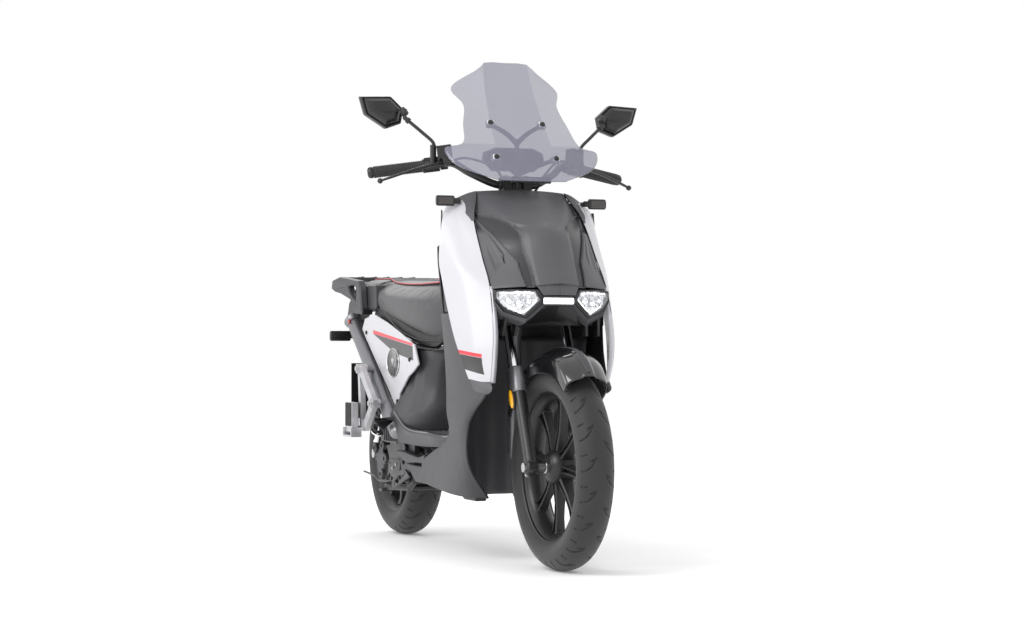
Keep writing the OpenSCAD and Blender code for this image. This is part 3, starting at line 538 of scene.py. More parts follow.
FINISHES = {
    # The darker finish of the nose panel's recessed channels is painted shade.
    "channel": lambda: coated("channel_painted_shade", (0.022, 0.022, 0.026), 0.34, 300.0, 0.00003, coat=0.15),
    "pearl": lambda: coated("pearl_white", tuple(chosen().body_colour), 0.3, 320.0, 0.00002, coat=0.6),
    "fascia": lambda: grained("fascia_grey", tuple(chosen().fascia_colour), 0.42, 1500.0, 0.00005),
    "body": lambda: grained("body_grey", (0.042, 0.042, 0.047), 0.46, 1300.0),
    "black": lambda: grained("black_plastic", (0.012, 0.012, 0.013), 0.48, 1500.0),
    "satin": lambda: grained("satin_black", (0.010, 0.010, 0.011), 0.32, 1800.0, 0.00003),
    "gloss": lambda: coated("gloss_black", (0.008, 0.008, 0.009), 0.16, 140.0, 0.00002, coat=0.8),
    "powder": lambda: coated("powder_black", (0.014, 0.014, 0.015), 0.36, 700.0, 0.00006),
    "tube": lambda: coated("tube_grey", (0.24, 0.24, 0.255), 0.36, 600.0, 0.00004, metallic=0.7),
    "alloy": lambda: cast("cast_alloy", (0.58, 0.58, 0.60), 0.4),
    "dark_alloy": lambda: cast("dark_alloy", (0.09, 0.09, 0.095), 0.45),
    "steel": lambda: machined("steel", (0.55, 0.55, 0.56)),
    "chrome": lambda: machined("chrome", (0.86, 0.86, 0.88), 0.08),
    "mirror": lambda: machined("mirror_glass", (0.82, 0.85, 0.9), 0.03, 40.0),
    "tyre": lambda: tyre_rubber("tyre_rubber", (0.013, 0.013, 0.014)),
    "rubber": lambda: tyre_rubber("soft_rubber", (0.011, 0.011, 0.012)),
    "seat": lambda: vinyl("seat_vinyl", tuple(chosen().seat_colour)),
    "inlay": lambda: vinyl("seat_inlay", (0.012, 0.012, 0.013), 300.0, 0.55),
    "piping": lambda: vinyl("red_piping", tuple(chosen().accent_colour), 900.0, 0.4, 0.00005),
    "thread": lambda: vinyl("seam_thread", (0.02, 0.02, 0.022), 900.0, 0.6, 0.00005),
    # The amber and red lenses glow faintly, though the reflectors, marks and switch that use them are no
    # lamps: painted glow.
    "amber": lambda: prismatic("amber_reflector", (0.95, 0.42, 0.01), 0.25),
    "red_lens": lambda: prismatic("red_lens", (0.45, 0.005, 0.008), 0.3),
    "smoke": lambda: prismatic("smoked_lens", (0.02, 0.014, 0.012), 0.0),
    "bowl": lambda: facets("chrome_bowl"),
    "lamp": lambda: glow("lamp_white", (1.0, 1.0, 1.0), 2.6),
    # The screen's last value lightens its side facets past the creases: painted highlight.
    "screen": lambda: clear("clear_screen", tuple(chosen().screen_colour), chosen().screen_tint, 0.10),
    "lens": lambda: clear("clear_lens", (0.9, 0.92, 0.95), 0.1),
}
MADE = {}


def finish(name):
    if name not in MADE:
        MADE[name] = FINISHES[name]()
    return MADE[name]


def prismatic(name, colour, painted_glow):
    """Moulded lens with small square prisms behind a clear skin; the prisms' lighter and darker tints are
    painted reflection, and its faint glow is painted light where the lens is no lamp.
    """
    # Emission strength is a painted glow.
    paint = Paint(name, coat_weight=1.0, coat_roughness=0.04, emission_strength=painted_glow)
    prisms = paint.cells(420.0, "F1")
    # Lighter and darker tints across the prisms: painted reflection.
    tint = paint.blend(prisms.step(0.1, 0.7), tuple(min(1, c * 1.3) for c in colour),
                       tuple(c * 0.7 for c in colour))
    return paint.set(base_color=tint, emission_color=tint, roughness=0.2,
                     normal=paint.bump(prisms, 0.0005)).material


def facets(name):
    """Bright reflector cut into facets, each shaded from bright to dark in its colour: painted reflection."""
    paint = Paint(name, metallic=1.0)
    cuts = paint.cells(85.0, "F1")
    fine = paint.noise(160.0, 2.0)
    # Bright-to-dark colour across each facet: painted reflection.
    return paint.set(base_color=paint.blend(cuts.step(0.1, 0.9), (0.95, 0.95, 0.97), (0.5, 0.51, 0.54)),
                     roughness=0.06 + 0.1 * fine, normal=paint.bump(cuts, 0.004)).material


def glow(name, colour, strength):
    paint = Paint(name, emission_strength=strength)
    lines = paint.noise(90.0, 1.0)
    shade = paint.blend(lines.step(0.3, 0.7), tuple(c * 0.75 for c in colour), colour)
    return paint.set(base_color=shade, emission_color=shade, roughness=0.3).material


def clear(name, colour, tint, fold=0.0):
    """Clear moulding, more solid where it is seen edge-on; fold is a painted highlight, making it more
    see-through and so lighter past its two creases.
    """
    paint = Paint(name, coat_weight=0.5, coat_roughness=0.02, specular_ior_level=0.6)
    edge = paint.node("ShaderNodeLayerWeight", {}, {"Blend": 0.28}, "Facing")
    rim = 0.6 * edge * edge * edge
    haze = paint.noise(3.0, 4.0)
    x, z = abs(paint.axis("X")), paint.axis("Z")
    # Side facets past the two creases are made more see-through, so lighter: painted highlight.
    painted_highlight_facets = (x + 0.07 * (z - 1.17) - 0.087).step(0, 0.001) * z.step(1.185, 1.19)
    return paint.set(base_color=paint.varied(colour, 0.04), roughness=0.05 + 0.04 * haze,
                     alpha=(tint + rim + 0.03 * haze - fold * painted_highlight_facets).least(0.95)).material


# ---- front body ----

FASCIA_ROWS = [(133, -380, 1052, -408, 1056), (148, -412, 1018, -452, 1030),
               (162, -445, 976, -535, 978),
               (166, -490, 920, -600, 926), (168, -535, 860, -632, 870), (169, -600, 784, -674, 794),
               (169, -611, 769, -682, 776)]
CHANNEL = [(172, 990), (158, 966), (146, 939), (129, 905), (113, 875), (98, 846), (96, 810), (90, 772),
           (58, 772), (62, 831), (67, 875), (69, 933), (82, 956), (111, 976), (150, 988), (166, 1019)]
SLOT = [(147, 928), (141, 924), (119, 866), (122, 838), (129, 842), (127, 868)]
FACET = [(153, 935), (130, 842), (151, 807), (158, 877)]


def inside(x, z, outline):
    """How far points are inside an outline, negative outside it."""
    nearest, odd = np.full(np.shape(x), 1e9), np.zeros(np.shape(x), bool)
    for (ax, az), (bx, bz) in zip(outline, outline[1:] + outline[:1]):
        dx, dz = bx - ax, bz - az
        t = np.clip(((x - ax) * dx + (z - az) * dz) / (dx * dx + dz * dz), 0, 1)
        nearest = np.minimum(nearest, np.hypot(x - ax - t * dx, z - az - t * dz))
        odd ^= ((az > z) != (bz > z)) & (x < ax + (z - az) * dx / (dz if dz else 1e-9))
    return np.where(odd, nearest, -nearest)


def fascia_sheet():
    rows = []
    for w, edge_y, edge_z, mid_y, mid_z in curve(FASCIA_ROWS, 30):
        s = np.linspace(-1, 1, 181)
        rows.append(np.stack([s * w, mid_y + (edge_y - mid_y) * s * s,
                              mid_z + (edge_z - mid_z) * s * s], 1))
    p = np.array(rows)
    x, z = abs(p[..., 0]), p[..., 2]
    depth = chosen().relief
    out = -depth * step(inside(x, z, CHANNEL), 0, 5)
    out -= 0.6 * depth * step(inside(x, z, SLOT), 0, 2.5)
    out -= 0.45 * depth * step(inside(x, z, FACET), 0, 10)
    ridge = (1 - step(x, 56, 68)) * (1 - step(z, 925, 965))
    out += 0.35 * depth * ridge + 1.5 * depth * (1 - np.clip(x / 66, 0, 1)) * ridge
    crease = np.interp(z, [930, 944, 955, 998, 1052], [20, 40, 78, 105, 136])
    out -= 0.26 * np.clip(x - crease, 0, 60) * step(z, 925,
                                                    950) * (1 - step(inside(x, z, CHANNEL), -3, 3))
    out *= step(1 - abs(np.linspace(-1, 1, 181)), 0, 0.02)
    p[..., 1] -= out * 0.88
    p[..., 2] += out * 0.47 * step(1057 - z, 0, 30)
    return p


APRON_ROWS = [
    [(136, -384, 1050), (166, -374, 1040), (196, -362, 1024)],
    [(165, -449, 976), (196, -420, 985), (226, -374, 990)],
    [(171, -539, 860), (216, -470, 868), (243, -385, 870)],
    [(173, -606, 776), (213, -520, 790), (239, -400, 801)],
    [(177, -646, 657), (208, -564, 657), (231, -466, 658)],
    [(178, -642, 575), (203, -578, 575), (218, -508, 575)],
    [(174, -618, 512), (190, -584, 514), (206, -532, 522)]]
CHEEK_ROWS = [
    [(218, -470, 706), (222, -425, 706), (220, -372, 706), (214, -322, 706)],
    [(198, -525, 600), (206, -470, 600), (208, -390, 600), (203, -318, 600)],
    [(178, -602, 507), (191, -540, 512), (200, -430, 510), (196, -314, 510)],
    [(178, -590, 482), (194, -510, 470), (200, -420, 450), (194, -312, 430)],
    [(184, -470, 400), (192, -440, 380), (194, -380, 370), (190, -310, 350)],
    [(178, -446, 283), (186, -410, 283), (190, -320, 283), (188, -76, 272)],
    [(112, -424, 184), (160, -400, 186), (182, -300, 192), (184, -122, 206)]]
RED_LINE = [(-482, 605), (-606, 591), (-606, 581), (-486, 594)]
DARK_PATCH = [(-490, 593), (-606, 580), (-606, 534), (-520, 549)]


def build_front_body():
    """Nose panel with its channels, side aprons, lower cheeks and the wheel recess."""
    nose = piece("nose_panel", grid(fascia_sheet()), finish("fascia"), "chassis",
                 "front_fascia", thick=3, sharp=50)
    # Faces inside the recessed channels take the darker channel finish: painted shade.
    nose.data.materials.append(finish("channel"))
    centres = np.array([tuple(p.center) for p in nose.data.polygons]) / MM
    dark = inside(abs(centres[:, 0]), centres[:, 2], CHANNEL) > 2.5
    nose.data.polygons.foreach_set("material_index", dark.astype(int))
    brow = both(grid([[(0, -685, 797), (34, -681, 796), (66, -664, 790)],
                      [(0, -689, 772), (32, -687, 771), (58, -678, 770)],
                      [(0, -691, 752), (30, -690, 752), (47, -687, 751)]]))
    piece("nose_brow", brow, finish("fascia"), "chassis", "front_fascia", thick=3, bevel=1)
    strip = dense([[(133, -388, 1053), (160, -380, 1045), (197, -362, 1027)],
                   [(147, -420, 1019), (166, -411, 1017), (206, -373, 1009)],
                   [(159, -443, 993), (169, -437, 991), (184, -424, 990)],
                   [(166, -462, 966), (169, -460, 965), (171, -457, 964)]], 6, 6)
    piece("shoulder_strips", both(grid(strip)), finish("fascia"), "chassis",
          "front_fascia", thick=3, bevel=1)
    white = striped("pearl_apron", RED_LINE, DARK_PATCH)
    apron = grid(dense(APRON_ROWS, 14, 14))
    for name, shape in (("apron_left", apron), ("apron_right", flipped(apron))):
        piece(f"{name}_shell", shape, white, "chassis", name, thick=3, bevel=1.2,
              segments=3)
    cheeks = both(grid(dense(CHEEK_ROWS, 10, 12)))
    piece("leg_shield_cheeks", cheeks, finish("body"), "chassis", "lower_leg_shield",
          thick=3, bevel=1.0)
    wall = []
    for z, w in curve([(640, 196), (510, 186), (430, 182), (350, 178), (283, 172), (190, 146)], 6):
        wall.append([(s * w, -338 - 40 * (s * w / 172) ** 2 - 26 * abs(s) ** 9, z)
                     for s in np.linspace(-1, 1, 41)])
    flutes = [[(x, y + 2.2 * math.cos(x / 9.5), z) for x, y, z in row] for row in wall]
    piece("wheel_recess_wall", grid(flutes), finish("body"), "chassis", "lower_leg_shield",
          thick=3)
    tray = box((-150, -322, 196), (150, -130, 200))
    piece("belly_tray", tray, finish("body"), "chassis", "lower_leg_shield", bevel=1.5)
    pad = loft([[(x * k, y, z) for x, y, z in ring] for k, ring in zip((1, 1, 0.9), (
        [(-100, -283, 196), (-60, -283, 196), (-60, -157, 196), (-100, -157, 196)],
        [(-100, -283, 178), (-60, -283, 178), (-60, -165, 178), (-100, -165, 178)],
        [(-104, -275, 165), (-70, -275, 165), (-70, -172, 165), (-104, -172, 165)]))])
    piece("belly_blocks", both(pad), finish("rubber"), "chassis", "lower_leg_shield",
          bevel=2.5)
    rims = [tube([(s * (row[0][0] - 1), row[0][1] + 1, row[0][2]) for row in CHEEK_ROWS[2:]], 3.2, 10)
            for s in (-1, 1)]
    piece("recess_rims", join(*rims), finish("satin"), "chassis")
    flanks = [[(233, -374, 1000), (204, -300, 1000)], [(237, -384, 870), (212, -312, 870)],
              [(233, -398, 801), (212, -314, 801)], [(218, -430, 706), (210, -318, 706)]]
    piece("shield_flanks", both(grid(dense(flanks, 6, 6))), finish("body"), "chassis",
          thick=2)
    lips = [[(p[0][0] + d, p[0][1] + e, p[0][2]) for p in dense(APRON_ROWS[3:], 4, 6)] for d, e in
            ((1, -1), (-4, -3), (-12, 1))]
    piece("apron_lips", both(grid(lips)), finish("pearl"), "chassis", thick=2)
    tips = grid(dense([[(174, -619, 515), (190, -586, 515), (205, -536, 523)],
                       [(175, -634, 494), (190, -592, 497), (202, -548, 504)],
                       [(175, -602, 482), (187, -580, 484), (196, -552, 490)]], 6, 6))
    piece("apron_tips", both(tips), finish("fascia"), "chassis", thick=3, bevel=1.0)
    seams = [tube([(s * (r[0][0] + 0.5), r[0][1] - 0.5, r[0][2]) for r in APRON_ROWS], 1.3, 8)
             for s in (-1, 1)]
    piece("apron_gaps", join(*seams), finish("black"), "chassis")


# ---- lamps ----

LENS = [(165, 761), (131, 764), (67, 763), (55, 739), (98, 697), (143, 715), (165, 741)]
BEZEL = [(168, 766), (131, 769), (60, 768), (46, 750), (46, 728), (92, 687), (147, 706), (169, 738)]


def lens_y(x):
    return float(np.interp(x, [0, 55, 105, 164, 180], [-684, -682, -670, -640, -628]))


def spread(outline, n):
    """Outline divided into n steps of equal length."""
    p = np.array([*outline, outline[0]], float)
    far = np.concatenate([[0], np.cumsum(np.linalg.norm(np.diff(p, axis=0), axis=1))])
    at = np.linspace(0, far[-1], n, endpoint=False)
    return list(zip(np.interp(at, far, p[:, 0]), np.interp(at, far, p[:, 1])))


def about(outline, scale):
    c = np.mean(outline, axis=0)
    return [tuple(c + (np.array(p) - c) * scale) for p in outline]


def lamp_ring(outline, back):
    return [(x, lens_y(x) + back, z) for x, z in outline]


def build_lamps():
    """Twin headlamps, running-light bar, and front and rear signals."""
    outer, inner = spread(BEZEL, 84), spread(LENS, 84)
    shift = int(np.argmin([math.dist(outer[0], p) for p in inner]))
    inner = inner[shift:] + inner[:shift]
    rings = [lamp_ring(outer, 16), lamp_ring(outer, 3), lamp_ring(about(outer, 0.97), -2),
             lamp_ring(about(inner, 1.05), -1), lamp_ring(inner, 1), lamp_ring(inner, 12)]
    piece("lamp_bezels", both(loft(rings, False)), finish("satin"), "chassis",
          "headlight_housing", sharp=25)
    bowls, units, fins = [], [], []
    bowls.append(loft([lamp_ring(inner, 11), lamp_ring(about(inner, 0.8), 15),
                       lamp_ring(about(inner, 0.78), 17)]))
    for x, z, w, h in ((82, 736, 10, 9), (108, 730, 12, 12), (134, 738, 10, 9)):
        y = lens_y(x)
        cup = [(x + w * math.cos(a), z + h * math.sin(a)) for a in np.arange(6) * math.tau / 6 + 0.3]
        bowls.append(loft([[(u, y + 4, v) for u, v in cup],
                           [(u, y + 12, v) for u, v in about(cup, 0.7)],
                           [(u, y + 13, v) for u, v in about(cup, 0.45)]], False))
        units.append(prism(about(cup, 0.42), y + 10, y + 12, "y"))
    for k in range(9):
        x = 68 + 11 * k
        y = lens_y(x)
        fins.append(box((x, y + 5, 749), (x + 2, y + 14, 758)))
    units.append(tube([(70, lens_y(70) + 5, 757), (110, lens_y(110) + 5, 759),
                       (154, lens_y(154) + 5, 757)], 1.4, 8))
    units.append(tube([(62, lens_y(62) + 5, 738), (98, lens_y(98) + 5, 706),
                       (138, lens_y(138) + 5, 722)], 1.3, 8))
    piece("lamp_bowls", both(join(*bowls)), finish("bowl"), "chassis", "headlight_housing",
          sharp=20)
    piece("lamp_fins", both(join(*fins)), finish("chrome"), "chassis", "headlight_housing",
          bevel=0.4)
    piece("lamp_emitters", both(join(*units)), finish("lamp"), "chassis", "headlight_lenses")
    covers = both(loft([lamp_ring(inner, 1), lamp_ring(about(inner, 0.96), -1.5),
                        lamp_ring(about(inner, 0.5), -3)]))
    piece("lamp_covers", covers, finish("lens"), "chassis", "headlight_lenses", sharp=40)
    bar = loft([[(x, y, z) for y, z in ((-680, 728), (-686, 729), (-686, 744), (-680, 745))]
                for x in (-44, 44)])
    piece("running_light", bar, finish("lamp"), "chassis", "headlight_lenses", bevel=1.5)
    frame_bar = both(loft([[(0, -688, 751), (48, -686, 751), (48, -686, 747), (0, -688, 747)],
                           [(0, -672, 752), (50, -668, 752), (50, -670, 746), (0, -672, 746)]]))
    lower = both(loft([[(0, -686, 722), (46, -684, 722), (46, -684, 726), (0, -686, 726)],
                       [(0, -668, 716), (46, -668, 716), (46, -668, 728), (0, -668, 728)]]))
    piece("running_light_frame", join(frame_bar, lower), finish("satin"), "chassis",
          "headlight_housing", bevel=1.0)
    chin_rows = [[(30, -682, 727), (46, -684, 728), (91, -673, 688), (148, -645, 707),
                  (169, -632, 738)],
                 [(26, -674, 719), (46, -672, 718), (92, -662, 678), (150, -634, 698),
                  (169, -622, 730)],
                 [(34, -650, 706), (54, -644, 702), (96, -636, 671), (150, -612, 690),
                  (169, -602, 718)]]
    piece("chin_facets", both(grid(chin_rows)), finish("fascia"), "chassis",
          "headlight_housing", thick=3, bevel=1.2, sharp=12)
    middle_rows = [[(0, -680, 724), (34, -678, 722), (60, -664, 706)],
                   [(0, -664, 700), (50, -652, 692), (74, -640, 680)],
                   [(0, -630, 684), (50, -622, 678), (84, -612, 672)]]
    piece("chin_middle", both(grid(middle_rows)), finish("satin"), "chassis",
          "headlight_housing", thick=3, bevel=1)
    brackets = [loft([[(x, -640, 690), (x + 9, -640, 690), (x + 9, -610, 690), (x, -610, 690)],
                      [(x + 6, -628, 640), (x + 14, -628, 640), (x + 14, -600, 640),
                       (x + 6, -600, 640)]])
                for x in (96, 132)]
    piece("chin_brackets", both(join(*brackets)), finish("black"), "chassis",
          "headlight_housing", bevel=1.2)
    back = grid([[(s * 168, -598 - 20 * (1 - s * s), z) for s in np.linspace(-1, 1, 21)]
                 for z in (775, 730, 670)])
    piece("lamp_backing", back, finish("black"), "chassis", "headlight_housing",
          thick=2)
    for tag, x0, x1, y, z, h, r, stalk in (("front", 206, 259, -402, 1024, 8, 7, (186, -398, 1022)),
                                           ("rear", 158, 227, 775, 651, 9, 8, (68, 775, 651))):
        section = [(r * math.cos(a) * 1.05,
                    (h + r) * math.copysign(abs(math.sin(a)) ** 0.6, math.sin(a)))
                   for a in np.arange(28) * math.tau / 28]
        ring = [(x0, 0.9), (x0 + 3, 1), (x1 - 5, 1), (x1 - 1.5, 0.94), (x1, 0.8)]
        shape = loft([[(x, y + u * k, z + v * k) for u, v in section] for x, k in ring])
        piece(f"{tag}_signal_shells", both(shape), finish("satin"), "chassis",
              "indicators")
        face = -1 if tag == "front" else 1
        edge = [(x0 + 5, -h - 2), (x1 - 5, -h - 2), (x1 - 5, h + 2), (x0 + 5, h + 2)]
        pane = loft([[(x, y + face * d, z + v) for x, v in about(edge, k)]
                     for d, k in ((r - 1, 1), (r + 1.3, 1), (r + 2, 0.93))])
        piece(f"{tag}_signal_panes", both(pane), finish("smoke"), "chassis", "indicators",
              bevel=1.0)
        neck = tube([stalk, ((stalk[0] + x0) / 2, stalk[1], z), (x0 + 4, y, z)], [7.5, 6, 7], 20)
        boots = [turned([(0, 8.6), (3, 8.6), (4, 7.4)], (x0 - 4 - 5 * k, y, z), (1, 0, 0), 24)
                 for k in range(3)]
        piece(f"{tag}_signal_stalks", both(join(neck, *boots)), finish("rubber"), "chassis",
              "indicators")


# ---- floor, side body and tail ----

PANEL = [(560, 706), (455, 716), (330, 690), (200, 658), (57, 619), (18, 560), (60, 540), (112, 523),
         (200, 468),
         (216, 425), (236, 425), (300, 474), (560, 648), (590, 672)]
PANEL_RED = [(470, 668), (70, 623), (70, 616), (470, 656)]
PANEL_DARK = [(560, 681), (470, 656), (70, 615), (62, 571), (192, 588), (315, 610)]
UNDER_LEVELS = [(362, 192, 4), (404, 196, -2), (440, 178, -6), (500, 160, 0), (556, 156, -14),
                (584, 150, -22),
                (606, 150, -22)]


def under_sheet():
    rows = []
    for z, w, y in curve(UNDER_LEVELS, 8):
        line = curve([(-1, 224), (-1, 130), (-0.94, 60), (-0.66, 14), (0, 0), (0.66, 14), (0.94, 60),
                      (1, 130),
                      (1, 224)], 16)
        far = np.arange(len(line)) / (len(line) - 1)
        flute = 4.5 * np.abs(np.sin(far * math.pi * 11)) * step(z, 430, 470) * (1 - step(z, 560, 590))
        rows.append([(s * (w - f * abs(s) ** 4), y + u + f * (1 - abs(s)), z)
                     for (s, u), f in zip(line, flute)])
    return rows


def build_rail():
    """Winged grab rail with its windows, the rack plate behind it, and the box below the pillion."""
    wing = spread([(566, 728), (604, 745), (700, 772), (800, 792), (868, 800), (912, 812), (903, 838),
                   (815, 848),
                   (700, 838), (598, 828), (580, 800), (573, 760)], 96)
    window = spread([(628, 762), (664, 776), (696, 792), (716, 812), (690, 816), (650, 814), (630, 808),
                     (624, 786)], 96)
    shift = int(np.argmin([math.dist(wing[0], p) for p in window]))
    window = window[shift:] + window[:shift]
    rings = [[(x, y, z) for y, z in line] for x, line in (
        (162, wing), (180, wing), (184, about(wing, 0.965)), (184, about(window, 1.12)), (180, window),
        (162, window))]
    piece("rail_wings", both(loft([*rings, rings[0]], False)), finish("body"), "chassis",
          "grab_rail", sharp=35)
    plan = [(-184, 800), (-150, 980), (150, 980), (184, 800), (120, 790), (-120, 790)]
    rack = loft([[(x * k, y, z) for x, y in plan] for k, z in ((0.97, 832), (1, 835), (1, 843), (0.97, 847))])
    piece("rack_plate", rack, finish("body"), "chassis", "grab_rail", bevel=3, segments=3)
    slots = [tube([(x, 850, 847), (x, 955, 847)], 5, 12) for x in (-90, -45, 0, 45, 90)]
    piece("rack_ribs", join(*slots), finish("rubber"), "chassis", "grab_rail")
    box_line = [(494, 812), (487, 738), (653, 727), (721, 700), (777, 679), (812, 710), (791, 760),
                (700, 815)]
    piece("tail_boxes", both(prism(box_line, 118, 158)), finish("body"), "chassis",
          "tail_fairing", bevel=4, segments=3)
    feet = both(loft([[(x, y, z) for y, z in ((560, 718), (640, 722), (640, 745), (560, 740))]
                      for x in (147, 182)]))
    piece("rail_feet", feet, finish("satin"), "chassis", "grab_rail", bevel=2)


def build_side_body():
    """Floor, body below the seat, side panels with badges, tail, grab rail and rear lamp."""
    piece("underseat_body", grid(under_sheet()), finish("body"), "chassis",
          "underseat_cover", thick=3, sharp=60)
    ledge = tube([(-150, 224, 608), (-151, 130, 608), (-142, 42, 606), (-100, -6, 604), (0, -24, 603),
                  (100, -6, 604),
                  (142, 42, 606), (151, 130, 608), (150, 224, 608)], 4.5, 12)
    piece("underseat_ledge", ledge, finish("satin"), "chassis", "underseat_cover")
    deck = prism([(-294, 342), (-294, 350), (-130, 354), (20, 358), (20, 346)], -172, 172)
    ribs = [tube([(x, -276, 352.5), (x, -130, 355.5), (x, 4, 358.5)], 3.2, 10)
            for x in range(-140, 141, 20)]
    bars = [tube([(-146, y, z), (146, y, z)], 3.0, 10) for y, z in ((-278, 352.5), (6, 358.6))]
    piece("floor_deck", deck, finish("body"), "chassis", "floorboard", bevel=1.5)
    piece("floor_ribs", join(*ribs, *bars), finish("rubber"), "chassis", "floorboard")
    line = [(-318, 380), (-290, 354), (-130, 360), (-5, 362), (70, 372), (120, 392), (160, 410),
            (177, 414)]
    low = [(-318, 330), (-290, 326), (-130, 322), (-5, 322), (70, 324), (120, 326), (140, 350),
           (168, 392)]
    rows = [[(192 + dx - 11 * float(step(-y, 190, 312)), y, z) for (y, z) in curve(edge, 8)]
            for edge, dx in
            ((line, -14), (line, 5), ([(y, z - 6) for y, z in line], 8),
             ([((a + c) / 2, (b + d) / 2) for (a, b), (c, d) in zip(line, low)], 2), (low, 4),
             (low, -12))]
    piece("floor_edges", both(grid(rows)), finish("body"), "chassis", "floorboard",
          thick=2.5, sharp=40)
    trim = tube([(198.5 - 10 * float(step(-y, 190, 312)), y, z) for y, z in [(-330, 440), *line]], 2.2,
                10)
    piece("floor_edge_trim", both(trim), finish("tube"), "chassis", "floorboard")
    cover = [(22, 328), (116, 343), (176, 372), (342, 335), (336, 321), (273, 317)]
    slats = [box((188, y, 322), (191.5, y + 5, 340 + 0.18 * (y - 30))) for y in range(44, 300, 18)]
    piece("pivot_covers", both(prism(cover, 174, 188)), finish("satin"), "chassis",
          bevel=2)
    piece("pivot_cover_slats", both(join(*slats)), finish("body"), "chassis", bevel=0.8)
    block = [(466, 288), (404, 296), (380, 262), (402, 207), (440, 212), (453, 232)]
    piece("linkage_blocks", both(prism(block, 146, 164)), finish("dark_alloy"), "chassis",
          bevel=3)
    bosses = [turned([(0, 17), (10, 17), (13, 14), (13, 7), (9, 7)], (158, y, z), (1, 0, 0), 32)
              for y, z in ((466, 292), (390, 303), (364, 262), (402, 212))]
    piece("linkage_bosses", both(join(*bosses)), finish("dark_alloy"), "chassis")
    plate = spread([(165, 238), (123, 218), (286, 172), (300, 186), (262, 226)], 60)
    slot = spread([(170, 222), (240, 190), (268, 196), (230, 216)], 60)
    near = int(np.argmin([math.dist(plate[0], p) for p in slot]))
    slot = slot[near:] + slot[:near]
    rings = [[(x, y, z) for y, z in line]
             for x, line in ((160, plate), (166, plate), (166, slot), (160, slot))]
    piece("slotted_brackets", both(loft([*rings, rings[0]], False)), finish("dark_alloy"), "chassis",
          bevel=0.8)
    pod = [(-60, 292), (2, 282), (143, 294), (215, 295), (191, 285), (143, 265), (-60, 266)]
    piece("side_pods", both(prism(pod, 152, 180)), finish("body"), "chassis", bevel=4,
          segments=3)
    keel = [(-314, 273), (-184, 300), (-45, 272), (-28, 254), (158, 258), (60, 206), (-270, 198)]
    piece("keel_covers", both(prism(keel, 140, 168)), finish("body"), "chassis", bevel=5,
          segments=3)
    panel = striped("pearl_panel", PANEL_RED, PANEL_DARK)
    piece("side_panel_shells", both(prism(PANEL, 166, 173)), panel, "chassis",
          "side_panels", bevel=2.2, segments=3)
    oval = [(259 + 64 * math.cos(a), 564 + 47 * math.sin(a)) for a in np.arange(48) * math.tau / 48]
    disc = loft([[(170 + d, y, z) for y, z in about(oval, k)]
                 for d, k in ((0, 1), (4.5, 0.97), (6, 0.86), (5, 0.82))])
    ring = tube([(175.2, *p) for p in about(oval, 0.94) + about(oval, 0.94)[:1]], 1.3, 10, 1)
    piece("side_badges", both(disc), finish("gloss"), "chassis", "side_panels")
    piece("side_badge_rings", both(ring), finish("chrome"), "chassis", "side_panels")
    arrow = [(222, 576), (259, 592), (296, 576), (259, 540)]
    piece("side_badge_marks", both(prism(about(arrow, 0.45), 174, 176.4)), finish("steel"), "chassis",
          "side_panels", bevel=0.6)
    shield = []
    for z, w, y in curve([(1030, 186, -258), (940, 222, -268), (868, 230, -280), (790, 226, -290),
                          (660, 212, -292),
                          (510, 192, -294), (362, 182, -300)], 5):
        shield.append([(s * w, y + d * (1.15 if z > 900 else 0.6), z) for s, d in curve(
            [(-1, -80), (-0.95, -60), (-0.84, -24), (-0.6, 0), (-0.3, -3), (0, 5), (0.3, -3), (0.6, 0),
             (0.84, -24),
             (0.95, -60), (1, -80)], 4)])
    piece("leg_shield_back", grid(shield), finish("body"), "chassis", "inner_leg_shield",
          thick=3)
    deck_line = [(-128, -372), (128, -372), (176, -346), (168, -290), (120, -262), (-120, -262),
                 (-168, -290),
                 (-176, -346)]
    hole = [(50 * math.cos(a), -310 + 50 * math.sin(a)) for a in np.arange(64) * math.tau / 64]
    around = spread(deck_line, 64)
    near = int(np.argmin([math.dist(around[0], p) for p in hole[::-1]]))
    hole = hole[::-1][near:] + hole[::-1][:near]
    if math.dist(around[16], hole[16]) > math.dist(around[16], hole[-16]):
        hole = [hole[0], *hole[:0:-1]]
    rings = [[(x, y, z) for x, y in line]
             for line, z in ((around, 1033), (around, 1037), (hole, 1038), (hole, 1033))]
    piece("stem_deck", loft([*rings, rings[0]], False), finish("body"), "chassis",
          "inner_leg_shield")
    dress(finish("body"), "tail_fairing", bevel=2.0)
    build_rail()
    dress(finish("satin"), "rear_mudguard", "battery_pack", bevel=1.5)
    dress(finish("red_lens"), "tail_light", bevel=2.0)
    dress(finish("tube"), "main_frame", bevel=1.0)
    dress(finish("dark_alloy"), "pivot_plates", bevel=1.5)
    dress(finish("alloy"), "peg_brackets", bevel=2.5)
    caps = turned([(-10, 23), (-4, 27), (5, 28), (9, 26), (11, 20)], (175, 690, 700),
                  (0.25, 0.72, 0.65), 40)
    marks = prism([(660, 706), (672, 702), (674, 690), (662, 694)], 192, 196)
    piece("frame_tube_caps", both(caps), finish("tube"), "chassis")
    piece("frame_tube_marks", both(marks), finish("red_lens"), "chassis", bevel=1)
    bolts = [bolt((244, 415, 545), (1, 0, 0), 8, 5), bolt((244, 280, 438), (1, 0, 0), 8, 5),
             bolt((240, 356, 356), (1, 0, 0), 5, 4), bolt((240, 452, 356), (1, 0, 0), 5, 4)]
    piece("peg_bracket_bolts", both(join(*bolts)), finish("steel"), "chassis", sharp=40)
    studs = [bolt((174, y, z), (1, 0, 0), 5, 3.5) for y, z in ((96, 574), (214, 446), (540, 660))]
    piece("side_panel_screws", both(join(*studs)), finish("satin"), "chassis", sharp=40)
